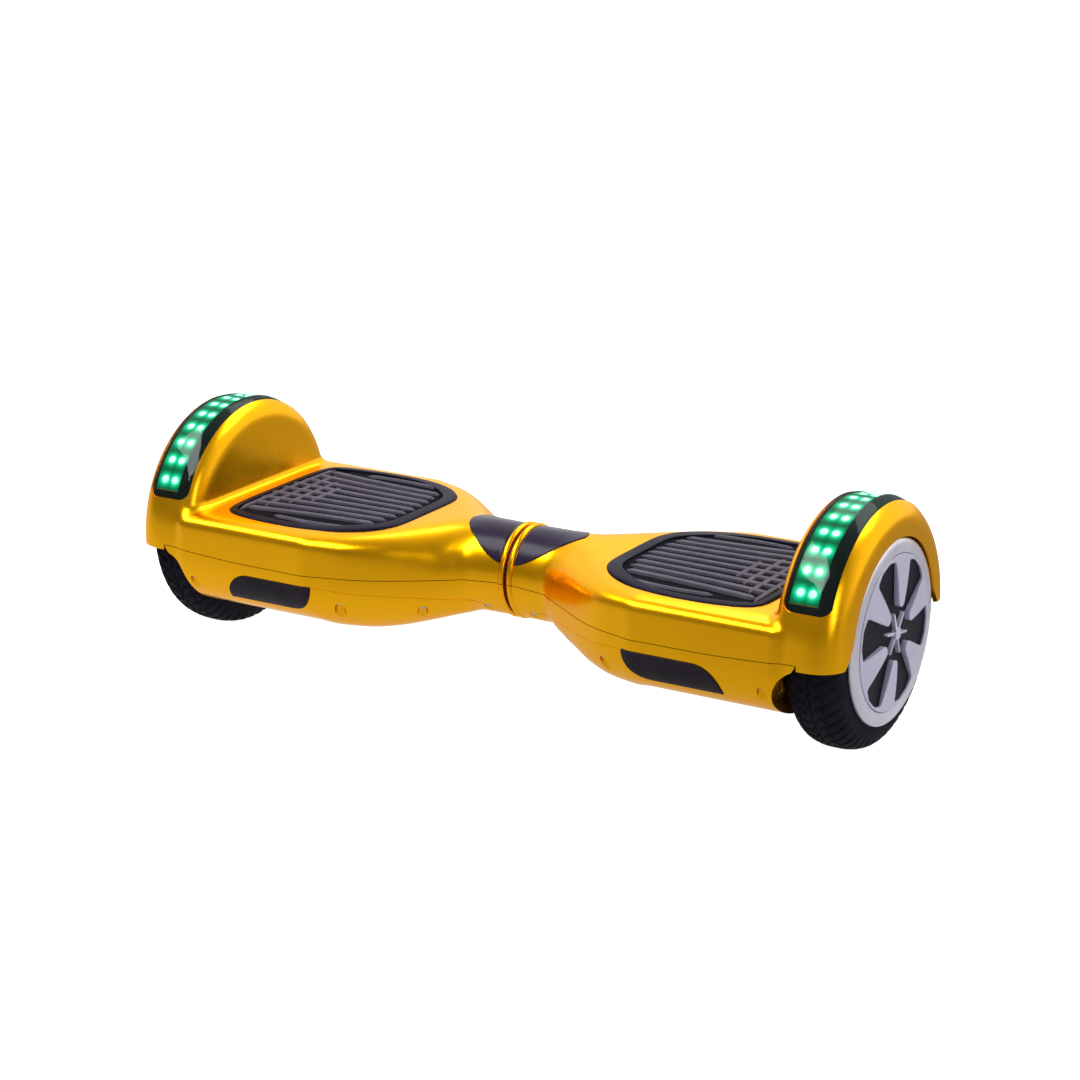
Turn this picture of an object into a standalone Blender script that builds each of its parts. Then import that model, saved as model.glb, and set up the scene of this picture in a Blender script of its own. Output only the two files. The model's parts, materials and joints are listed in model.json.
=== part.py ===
"""Self-balancing board: two hinged halves, two hub-motor wheels, sprung foot pads.

The wheel axle runs along X, the front edge faces -Y and the tyres stand on z = 0.
Each half is written once and mirrored by its side: -1 for the left, +1 for the right.
"""

import math

import bmesh
import bpy
import numpy as np
from mathutils import Matrix, Vector

# Overall layout, metres
SEAM_Z = 0.0800
SEAM_GAP = 0.0004
AXLE_Z = 0.0840
TWIST_Z = 0.0810
FLOOR_CLEARANCE = 0.0300
WALL = 0.0030
DECK_WALL = 0.0055
GAP = 0.0003

# Shell sections: distance from the middle, half width, top, bottom, upper and lower roundness
SECTIONS = (
    (0.0000, 0.0335, 0.1140, 0.0468, 2.0, 2.0),
    (0.0300, 0.0350, 0.1140, 0.0468, 2.0, 2.0),
    (0.0450, 0.0440, 0.1134, 0.0435, 2.1, 2.5),
    (0.0650, 0.0580, 0.1122, 0.0375, 3.1, 2.7),
    (0.0850, 0.0730, 0.1110, 0.0318, 4.5, 2.7),
    (0.1070, 0.0860, 0.1102, 0.0280, 6.4, 2.6),
    (0.1250, 0.0920, 0.1100, 0.0275, 7.8, 2.6),
    (0.1380, 0.0955, 0.1100, 0.0285, 8.6, 2.5),
    (0.2450, 0.0955, 0.1100, 0.0285, 8.6, 2.5),
)
SHELL_STATIONS = (0.0022, 0.032, 0.045, 0.056, 0.067, 0.078, 0.090, 0.102, 0.114, 0.125, 0.138)
SHELL_END = 0.2405
CAVITY_END = 0.2375
RING_POINTS = 28
CAVITY_POINTS = 14
CAVITY_STATIONS = (0.0010, 0.032, 0.055, 0.085, 0.107, 0.138)
BEAD_START = 0.0022
BEAD_END = 0.0052
BEAD_RADIUS = 0.0349

# Fender over each wheel: section in (distance from the middle, radius about the axle)
FENDER_MID = 0.2630
FENDER_HALF = 0.0260
FENDER_BASE = 0.0700
FENDER_TOP = 0.0940
FENDER_INNER_ROUND = 2.8
FENDER_OUTER_ROUND = 2.3
WELL_HALF = 0.0225
WELL_TOP = 0.0880
ARCH_RADIUS = 0.0662
AXLE_HOLE_RADIUS = 0.0085

# Lights on the fender crown, angles from the front horizontal
LENS_INNER = 0.2450
LENS_OUTER = 0.2795
LENS_CORNER = 0.0080
LENS_ANGLES = (21.0, 159.0)
LENS_THICKNESS = 0.0017
STRIP_INNER = 0.2500
STRIP_OUTER = 0.2690
STRIP_RADIUS = 0.0893
STRIP_THICKNESS = 0.0009
LED_ROWS = (0.2545, 0.2645)
LED_SIZE = 0.0036
LED_HEIGHT = 0.0007

# Foot pad outline as (distance from the middle, half width)
PAD_OUTLINE = ((0.0860, 0.0300), (0.0890, 0.0430), (0.0980, 0.0560), (0.1130, 0.0670), (0.1300, 0.0745),
               (0.1500, 0.0780), (0.1700, 0.0785), (0.1900, 0.0775), (0.2080, 0.0745), (0.2180, 0.0690),
               (0.2230, 0.0590))
PAD_RECESS_Z = 0.1065
PAD_BOTTOM_Z = 0.1085
PAD_TOP_Z = 0.1120
PAD_GROOVE = 0.0008
PAD_GROOVES = 9
PAD_TRAVEL = 0.0015
PLUNGER_X = 0.1650
PLUNGER_Y = 0.0450
PLUNGER_RADIUS = 0.0040
PLUNGER_END_Z = 0.0970

# Glossy cap over the neck: distance from the middle, half angle from the top
CAP_OUTLINE = ((0.0062, 66.0), (0.0137, 62.0), (0.0206, 54.0), (0.0270, 45.5), (0.0320, 37.0),
               (0.0400, 24.0), (0.0445, 13.0), (0.0475, 2.0))
CAP_PROUD = 0.0006
CAP_DEPTH = 0.0012

# Leaf-shaped bumpers on the lower shell
BUMPER_X = (0.1290, 0.2040)
BUMPER_Z = (0.0505, 0.0715)
BUMPER_ROUND = 0.0200
BUMPER_PROUD = 0.0009
BUMPER_DEPTH = 0.0012

# Wheel
TYRE_RADIUS = 0.0840
TYRE_MID = 0.2635
TYRE_SEGMENTS = 36
WHEEL_SEGMENTS = 24
HUB_FACE = 0.2920
PETALS = 6
PETAL_TURN = 50.0
PETAL_ROOT = (0.0120, 0.0046)
PETAL_TIP = (0.0505, 0.0148)
PETAL_CROWN = 0.0535

# Inside
AXLE_RADIUS = 0.0060
SHAFT_RADIUS = 0.0120
BUSH_BORE = 0.0124
FRAME_Z = (0.0700, 0.0740)
SCREW_POSTS = ((0.1150, 0.0560), (0.2200, 0.0560))
BUTTON_AT = (0.2150, 0.0180)
PORT_AT = (0.2150, -0.0180)

COLOURS = {
    "gold": ((0.80, 0.42, 0.03), 0.55, 0.22),
    "rubber": ((0.030, 0.028, 0.036), 0.0, 0.62),
    "tyre": ((0.018, 0.018, 0.022), 0.0, 0.75),
    "trim": ((0.022, 0.020, 0.030), 0.0, 0.25),
    "lens": ((0.015, 0.030, 0.022), 0.0, 0.08),
    "light": ((0.10, 0.90, 0.45), 0.0, 0.40),
    "silver": ((0.78, 0.77, 0.84), 0.85, 0.28),
    "aluminium": ((0.62, 0.63, 0.65), 1.0, 0.40),
    "steel": ((0.50, 0.51, 0.53), 1.0, 0.30),
    "board": ((0.02, 0.18, 0.09), 0.0, 0.45),
    "battery": ((0.04, 0.12, 0.42), 0.0, 0.35),
    "copper": ((0.62, 0.26, 0.10), 0.9, 0.35),
    "bronze": ((0.55, 0.36, 0.15), 0.9, 0.40),
    "cable": ((0.03, 0.03, 0.03), 0.0, 0.55),
}


def clear_scene():
    for obj in list(bpy.data.objects):
        bpy.data.objects.remove(obj, do_unlink=True)


def make_collection(name, hidden=False):
    made = bpy.data.collections.new(name)
    bpy.context.scene.collection.children.link(made)
    made.hide_render = hidden
    return made


def material_for(name, colour):
    made = bpy.data.materials.new(name)
    made.use_nodes = True
    shader = made.node_tree.nodes["Principled BSDF"]
    base, metallic, roughness = COLOURS[colour]
    shader.inputs["Base Color"].default_value = (*base, 1.0)
    shader.inputs["Metallic"].default_value = metallic
    shader.inputs["Roughness"].default_value = roughness
    made.diffuse_color = (*base, 1.0)
    return made


def add_object(name, mesh, colour=None):
    """Puts a mesh in the scene: a part when it has a colour, otherwise a hidden cutter."""
    obj = bpy.data.objects.new(name, mesh)
    if colour is None:
        CUTTERS.objects.link(obj)
        obj.hide_render = True
        obj.display_type = "WIRE"
    else:
        PARTS.objects.link(obj)
        mesh.materials.append(material_for(name, colour))
    return obj


def add_faces(name, points, faces, colour=None, smooth=None):
    mesh = bpy.data.meshes.new(name)
    build = bmesh.new()
    corners = [build.verts.new(point) for point in points]
    for face in faces:
        build.faces.new([corners[index] for index in face])
    bmesh.ops.recalc_face_normals(build, faces=build.faces)
    build.to_mesh(mesh)
    build.free()
    if smooth:
        mesh.shade_smooth()
        mesh.set_sharp_from_angle(angle=math.radians(smooth))
    return add_object(name, mesh, colour)


def add_loft(name, rings, colour=None, smooth=None):
    """Joins rings that hold the same number of points, and closes both ends."""
    count = len(rings[0])
    points = [point for ring in rings for point in ring]
    faces = [tuple(range(count)), tuple(range(len(points) - count, len(points)))]
    for first in range(0, len(points) - count, count):
        for step in range(count):
            after = (step + 1) % count
            faces.append((first + step, first + after, first + count + after, first + count + step))
    return add_faces(name, points, faces, colour, smooth)


def add_turned(name, side, profile, colour=None, segments=WHEEL_SEGMENTS, closed=True, z=AXLE_Z):
    """Turns a profile of (distance from the middle, radius) about the X axis at a height z."""
    mesh = bpy.data.meshes.new(name)
    build = bmesh.new()
    corners = [build.verts.new((radius, 0.0, along)) for along, radius in profile]
    for first, second in zip(corners, corners[1:]):
        build.edges.new((first, second))
    if closed:
        build.edges.new((corners[-1], corners[0]))
    build.to_mesh(mesh)
    build.free()
    obj = add_object(name, mesh, colour)
    obj.matrix_world = Matrix.Translation((0.0, 0.0, z)) @ Matrix.Rotation(side * math.pi / 2, 4, "Y")
    screw = obj.modifiers.new("turn", "SCREW")
    screw.axis = "Z"
    screw.steps = segments
    screw.render_steps = segments
    screw.use_merge_vertices = True
    screw.merge_threshold = 0.00002
    screw.use_smooth_shade = True
    bpy.context.view_layer.update()
    bake(obj)
    build = bmesh.new()
    build.from_mesh(obj.data)
    bmesh.ops.recalc_face_normals(build, faces=build.faces)
    build.to_mesh(obj.data)
    build.free()
    obj.data.set_sharp_from_angle(angle=math.radians(35))
    return obj


def add_block(name, low, high, colour=None, bevel=0.0):
    low, high = Vector(low), Vector(high)
    mesh = bpy.data.meshes.new(name)
    build = bmesh.new()
    bmesh.ops.create_cube(build, size=1.0)
    middle = (low + high) / 2
    for corner in build.verts:
        corner.co = middle + Vector(abs(high[i] - low[i]) * corner.co[i] for i in range(3))
    if bevel:
        bmesh.ops.bevel(build, geom=build.edges[:], offset=bevel, segments=1, affect="EDGES")
    build.to_mesh(mesh)
    build.free()
    return add_object(name, mesh, colour)


def add_rod(name, start, end, radius, colour=None, segments=16):
    start, end = Vector(start), Vector(end)
    mesh = bpy.data.meshes.new(name)
    build = bmesh.new()
    turn = Vector((0, 0, 1)).rotation_difference(end - start).to_matrix().to_4x4()
    place = Matrix.Translation((start + end) / 2) @ turn
    bmesh.ops.create_cone(build, cap_ends=True, segments=segments, radius1=radius, radius2=radius,
                          depth=(end - start).length, matrix=place)
    build.to_mesh(mesh)
    build.free()
    mesh.shade_smooth()
    mesh.set_sharp_from_angle(angle=math.radians(40))
    return add_object(name, mesh, colour)


def add_prism(name, outline, low, high, colour=None, smooth=None):
    """Extrudes a plan outline of (x, y) points from one height to another."""
    rings = [[(x, y, z) for x, y in outline] for z in (low, high)]
    return add_loft(name, rings, colour, smooth)


def bake(obj):
    """Replaces an object's mesh with the one its modifiers make."""
    graph = bpy.context.evaluated_depsgraph_get()
    mesh = bpy.data.meshes.new_from_object(obj.evaluated_get(graph))
    obj.modifiers.clear()
    obj.data = mesh


def combine(target, operation, *others):
    """Adds or takes away other solids, which become hidden cutters.

    The shells meet many curved cutters, where the exact solver leaves open edges.
    """
    for other in others:
        step = target.modifiers.new(operation.lower(), "BOOLEAN")
        step.operation = operation
        step.solver = "MANIFOLD" if target.name.endswith("_shell") else "EXACT"
        step.object = other
    return target


def cut(target, *others):
    return combine(target, "DIFFERENCE", *others)


def join(target, *others):
    return combine(target, "UNION", *others)


def curve_value(table, column, x):
    """Smooth value of one column of a table whose first column rises with x."""
    xs = np.array([row[0] for row in table])
    ys = np.array([row[column] for row in table])
    slopes = np.diff(ys) / np.diff(xs)
    tangents = np.zeros(len(xs))
    for i in range(1, len(xs) - 1):
        if slopes[i - 1] * slopes[i] > 0:
            tangents[i] = 2 * slopes[i - 1] * slopes[i] / (slopes[i - 1] + slopes[i])
    x = min(max(x, xs[0]), xs[-1])
    i = min(int(np.searchsorted(xs, x, side="right")) - 1, len(xs) - 2)
    step = xs[i + 1] - xs[i]
    t = (x - xs[i]) / step
    return float(
        ys[i] * (2 * t**3 - 3 * t**2 + 1)
        + step * tangents[i] * (t**3 - 2 * t**2 + t)
        + ys[i + 1] * (3 * t**2 - 2 * t**3)
        + step * tangents[i + 1] * (t**3 - t**2)
    )


def shell_point(x, angle, inset=0.0, top_inset=None):
    """(y, z) on the shell section x from the middle, at an angle from the rear horizontal."""
    half, top, bottom, upper, lower = (curve_value(SECTIONS, column, x) for column in range(1, 6))
    cosine, sine = math.cos(angle), math.sin(angle)
    round_ = upper if sine >= 0 else lower
    top_inset = inset if top_inset is None else top_inset
    height = top - SEAM_Z - top_inset if sine >= 0 else SEAM_Z - bottom - inset
    y = (half - inset) * math.copysign(abs(cosine) ** (2 / round_), cosine)
    z = SEAM_Z + height * math.copysign(abs(sine) ** (2 / round_), sine)
    return y, max(z, FLOOR_CLEARANCE + inset)


def side_y(x, z, inset=0.0):
    """Half width of the lower shell at a distance x and a height z."""
    half, _, bottom, _, lower = (curve_value(SECTIONS, column, x) for column in range(1, 6))
    depth = min(max((SEAM_Z - z) / (SEAM_Z - bottom), 0.0), 1.0)
    return half * (1 - depth**lower) ** (1 / lower) - inset


def shell_loft(name, side, stations, count, inset=0.0, deck_inset=0.0):
    rings = []
    for x in stations:
        blend = min(max((x - 0.060) / 0.025, 0.0), 1.0)
        top_inset = inset + (deck_inset - inset) * blend if inset else 0.0
        ring = []
        for step in range(count):
            y, z = shell_point(x, 2 * math.pi * step / count, inset, top_inset)
            ring.append((side * x, y, z))
        rings.append(ring)
    return add_loft(name, rings)


def fender_radius(x, half, top):
    """Radius of the fender surface at a distance x, between its walls."""
    offset = (x - FENDER_MID) / half
    round_ = FENDER_OUTER_ROUND if offset > 0 else FENDER_INNER_ROUND
    return FENDER_BASE + (top - FENDER_BASE) * max(1 - abs(offset) ** round_, 0.0) ** (1 / round_)


def fender_profile(half, top, steps):
    """Open profile from the outer end of the axis, over the crown, to the inner end."""
    profile = [(FENDER_MID + half, 0.0)]
    for step in range(steps + 1):
        angle = math.pi * step / steps
        cosine, sine = math.cos(angle), math.sin(angle)
        round_ = FENDER_OUTER_ROUND if cosine >= 0 else FENDER_INNER_ROUND
        along = FENDER_MID + half * math.copysign(abs(cosine) ** (2 / round_), cosine)
        profile.append((along, FENDER_BASE + (top - FENDER_BASE) * sine ** (2 / round_)))
    profile.append((FENDER_MID - half, 0.0))
    return profile


def around_axle(side, along, radius, degrees):
    """Point at a radius about the axle, with the angle taken from the front horizontal."""
    angle = math.radians(degrees)
    return side * along, -radius * math.cos(angle), AXLE_Z + radius * math.sin(angle)


def lens_patch(name, side, grow, outer, inner, colour=None, columns=5):
    """Curved strip on the fender crown with rounded corners, between two offsets from it."""
    low, high = (math.radians(angle) * FENDER_TOP for angle in LENS_ANGLES)
    low, high = low - grow, high + grow
    corner = LENS_CORNER + grow
    turn = [corner * (1 - math.cos(math.radians(a))) for a in (8, 30, 55, 75, 90)]
    middle = [math.radians(angle) * FENDER_TOP for angle in range(35, 146, 10)]
    rings = []
    for arc in [low + t for t in turn] + middle + [high - t for t in reversed(turn)]:
        from_end = min(arc - low, high - arc)
        pull = corner - math.sqrt(max(corner**2 - (corner - min(from_end, corner)) ** 2, 0.0))
        xs = np.linspace(LENS_INNER - grow + pull, LENS_OUTER + grow - pull, columns)
        degrees = math.degrees(arc / FENDER_TOP)
        crown = [fender_radius(x, FENDER_HALF, FENDER_TOP) for x in xs]
        ring = [around_axle(side, x, r + outer, degrees) for x, r in zip(xs, crown)]
        ring += [around_axle(side, x, r + inner, degrees) for x, r in reversed(list(zip(xs, crown)))]
        rings.append(ring)
    return add_loft(name, rings, colour, 40)


def strip_patch(name, side, grow, low, high, colour=None):
    """Flat-floored strip under the lens, in ten-degree facets."""
    rings = []
    ends = (25.0 - grow / FENDER_TOP * 57.3, 155.0 + grow / FENDER_TOP * 57.3)
    for degrees in (ends[0], *range(35, 146, 10), ends[1]):
        corners = ((STRIP_INNER - grow, low), (STRIP_OUTER + grow, low),
                   (STRIP_OUTER + grow, high), (STRIP_INNER - grow, high))
        rings.append([around_axle(side, x, r, degrees) for x, r in corners])
    return add_loft(name, rings, colour)


def cap_patch(name, side, grow, outer, inner, colour=None, columns=7):
    """Patch on top of the neck that narrows to a rounded tip."""
    rings = []
    for index, (x, half_angle) in enumerate(CAP_OUTLINE):
        x += grow if index == len(CAP_OUTLINE) - 1 else (-grow if index == 0 else 0.0)
        half_angle += math.degrees(grow / 0.0335)
        angles = [math.radians(90 + half_angle * t) for t in np.linspace(-1, 1, columns)]
        ring = [(side * x, *shell_point(x, angle, -outer)) for angle in angles]
        ring += [(side * x, *shell_point(x, angle, inner)) for angle in reversed(angles)]
        rings.append(ring)
    return add_loft(name, rings, colour, 40)


def bumper_patch(name, side, face, grow, outer, inner, colour=None):
    """Leaf-shaped patch on the front (face -1) or rear (face +1) of the lower shell."""
    start, end = BUMPER_X[0] - grow, BUMPER_X[1] + grow
    bottom, top = BUMPER_Z[0] - grow, BUMPER_Z[1] + grow
    height = top - bottom
    rings = []
    ramp = [BUMPER_ROUND * (1 - math.cos(math.radians(a))) for a in (12, 35, 60, 90)]
    for x in [start + r for r in ramp] + [0.168] + [end - r for r in reversed(ramp)]:
        near = min((x - start) / BUMPER_ROUND, 1.0)
        far = min((end - x) / BUMPER_ROUND, 1.0)
        upper = bottom + height * math.sqrt(max(1 - (1 - far) ** 2, 0.0))
        lower = top - height * math.sqrt(max(1 - (1 - near) ** 2, 0.0))
        levels = [upper + (lower - upper) * t for t in (0.0, 0.5, 1.0)]
        ring = [(side * x, face * side_y(x, z, -outer), z) for z in levels]
        ring += [(side * x, face * side_y(x, z, inner), z) for z in reversed(levels)]
        rings.append(ring)
    return add_loft(name, rings, colour, 40)


def pad_outline(side, grow):
    """Closed plan outline of a foot pad, moved out by grow."""
    edge = []
    rows = len(PAD_OUTLINE)
    for index, (x, half) in enumerate(PAD_OUTLINE):
        before, after = PAD_OUTLINE[max(index - 1, 0)], PAD_OUTLINE[min(index + 1, rows - 1)]
        along = Vector((after[0] - before[0], after[1] - before[1])).normalized()
        edge.append((x - along.y * grow, half + along.x * grow))
    edge[0] = (PAD_OUTLINE[0][0] - grow, edge[0][1])
    edge[-1] = (PAD_OUTLINE[-1][0] + grow, edge[-1][1])
    outline = edge + [(x, -half) for x, half in reversed(edge)]
    return [(side * x, y) for x, y in outline]


def build_shells(side, tag):
    """Upper and lower shell of one half, with their recesses."""
    outer_stations = (*SHELL_STATIONS, SHELL_END)
    cavity = shell_loft(f"cut_{tag}_cavity", side, (*CAVITY_STATIONS, CAVITY_END), CAVITY_POINTS, WALL,
                        DECK_WALL)
    bead_profile = ((BEAD_END, 0.0315), (BEAD_END, BEAD_RADIUS - 0.0010), (BEAD_END - 0.0008, BEAD_RADIUS),
                    (BEAD_START + 0.0008, BEAD_RADIUS), (BEAD_START, BEAD_RADIUS - 0.0010),
                    (BEAD_START, 0.0315))
    bead = add_turned(f"cut_{tag}_bead", side, bead_profile, segments=RING_POINTS, z=TWIST_Z)
    fender = add_turned(f"cut_{tag}_fender", side, fender_profile(FENDER_HALF, FENDER_TOP, 12),
                        segments=TYRE_SEGMENTS, closed=False)
    well = add_turned(f"cut_{tag}_well", side, fender_profile(WELL_HALF, WELL_TOP, 6),
                      segments=TYRE_SEGMENTS, closed=False)
    arch = add_rod(f"cut_{tag}_arch", (side * 0.2800, 0, AXLE_Z), (side * 0.3000, 0, AXLE_Z), ARCH_RADIUS,
                   segments=TYRE_SEGMENTS)
    notch = add_rod(f"cut_{tag}_axle", (side * 0.2300, 0, AXLE_Z), (side * 0.2450, 0, AXLE_Z),
                    AXLE_HOLE_RADIUS)
    half_gap = SEAM_GAP / 2
    below = add_block(f"cut_{tag}_below", (side * 0.15 - 0.2, -0.15, -0.05),
                      (side * 0.15 + 0.2, 0.15, SEAM_Z + half_gap))
    above = add_block(f"cut_{tag}_above", (side * 0.15 - 0.2, -0.15, SEAM_Z - half_gap),
                      (side * 0.15 + 0.2, 0.15, 0.25))
    lens = lens_patch(f"cut_{tag}_lens", side, GAP, 0.0040, -LENS_THICKNESS - 0.0002)
    strip = strip_patch(f"cut_{tag}_strip", side, GAP, STRIP_RADIUS - GAP, 0.0935)
    recess = add_prism(f"cut_{tag}_pad", pad_outline(side, 0.0004), PAD_RECESS_Z, 0.1200)
    cap = cap_patch(f"cut_{tag}_cap", side, GAP, 0.0040, CAP_DEPTH + GAP)
    plungers = [
        add_rod(f"cut_{tag}_plunger_{place}", (side * PLUNGER_X, y, 0.0950), (side * PLUNGER_X, y, 0.1090),
                PLUNGER_RADIUS + 0.0008, segments=16)
        for place, y in (("front", -PLUNGER_Y), ("rear", PLUNGER_Y))
    ]

    upper = shell_loft(f"{tag}_upper_shell", side, outer_stations, RING_POINTS)
    upper.data.materials.append(material_for(f"{tag}_upper_shell", "gold"))
    move_to_parts(upper)
    join(upper, fender, bead)
    cut(upper, cavity, well, arch, notch, below, recess, lens, strip, cap, *plungers)
    finish_shell(upper)

    lip_outline = ((0.2380, 0.0500), (0.2415, 0.0500), (0.2435, 0.0600), (0.2456, 0.0660), (0.2485, 0.0705),
                   (0.2530, 0.0750), (0.2575, 0.0780), (0.2610, 0.0800), (0.2610, 0.0900), (0.2380, 0.0900))
    lip = add_loft(f"cut_{tag}_lip",
                   [[(side * x, y, z) for x, z in lip_outline] for y in (-0.12, 0.12)])
    fender_lip = add_turned(f"cut_{tag}_lip_ring", side, fender_profile(FENDER_HALF, FENDER_TOP, 12),
                            segments=TYRE_SEGMENTS, closed=False)
    combine(fender_lip, "INTERSECT", lip)
    bake(fender_lip)
    lower = shell_loft(f"{tag}_lower_shell", side, outer_stations, RING_POINTS)
    lower.data.materials.append(material_for(f"{tag}_lower_shell", "gold"))
    move_to_parts(lower)
    join(lower, fender_lip, bead)
    cut(lower, cavity, well, notch)
    for number, (x, y) in enumerate((x, y * face) for x, y in SCREW_POSTS for face in (-1, 1)):
        post = add_rod(f"cut_{tag}_post_{number}", (side * x, y, 0.0380), (side * x, y, FRAME_Z[0] - GAP),
                       0.0050, segments=8)
        bore = add_rod(f"cut_{tag}_bore_{number}", (side * x, y, 0.0200), (side * x, y, 0.0620), 0.0032,
                       segments=8)
        join(lower, post)
        cut(lower, bore)
    for place, face in (("front", -1), ("rear", 1)):
        cut(lower, bumper_patch(f"cut_{tag}_bumper_{place}", side, face, GAP, 0.0060,
                                BUMPER_DEPTH + GAP))
    if side > 0:
        x, y = BUTTON_AT
        cut(lower, add_rod("cut_button_hole", (x, y, 0.02), (x, y, 0.04), 0.0074, segments=24))
        x, y = PORT_AT
        cut(lower, add_rod("cut_port_hole", (x, y, 0.02), (x, y, 0.04), 0.0068, segments=24))
    cut(lower, above)
    finish_shell(lower)


def move_to_parts(obj):
    CUTTERS.objects.unlink(obj)
    PARTS.objects.link(obj)
    obj.hide_render = False
    obj.display_type = "TEXTURED"


def finish_shell(obj):
    bake(obj)
    obj.data.shade_smooth()
    obj.data.set_sharp_from_angle(angle=math.radians(32))


def build_trim(side, tag):
    """Foot pad, neck cap, light lens, light strip and bumpers."""
    pad = add_prism(f"{tag}_footpad", pad_outline(side, 0.0), PAD_BOTTOM_Z, PAD_TOP_Z, "rubber")
    for number in range(PAD_GROOVES):
        y = (number - (PAD_GROOVES - 1) / 2) * 0.0145
        reach = 0.104 + 0.012 * abs(y / 0.0580) ** 2
        groove = add_block(f"cut_{tag}_groove_{number}", (side * reach, y - 0.0011, PAD_TOP_Z - PAD_GROOVE),
                           (side * 0.2150, y + 0.0011, PAD_TOP_Z + 0.001))
        cut(pad, groove)
    for place, y in (("front", -PLUNGER_Y), ("rear", PLUNGER_Y)):
        join(pad, add_rod(f"cut_{tag}_pad_post_{place}", (side * PLUNGER_X, y, PLUNGER_END_Z),
                          (side * PLUNGER_X, y, PAD_BOTTOM_Z + 0.001), PLUNGER_RADIUS))
    bake(pad)
    cap_patch(f"{tag}_neck_cap", side, 0.0, CAP_PROUD, CAP_DEPTH, "trim")
    lens_patch(f"{tag}_light_lens", side, 0.0, 0.0, -LENS_THICKNESS, "lens")
    strip_top = STRIP_RADIUS + STRIP_THICKNESS
    strip = strip_patch(f"{tag}_light_strip", side, 0.0, STRIP_RADIUS, strip_top, "light")
    facet = strip_top * math.cos(math.radians(5))
    for row, along in enumerate(LED_ROWS):
        for degrees in range(30, 151, 10):
            led = add_block(f"cut_{tag}_led_{row}_{degrees}", (-LED_SIZE / 2, -LED_SIZE / 2, facet - 0.0005),
                            (LED_SIZE / 2, LED_SIZE / 2, facet + LED_HEIGHT))
            turn = Matrix.Rotation(math.radians(90 - degrees), 4, "X")
            led.data.transform(Matrix.Translation((side * along, 0, AXLE_Z)) @ turn)
            join(strip, led)
    bake(strip)
    for place, face in (("front", -1), ("rear", 1)):
        bumper_patch(f"{tag}_bumper_{place}", side, face, 0.0, BUMPER_PROUD, BUMPER_DEPTH, "trim")


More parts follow.
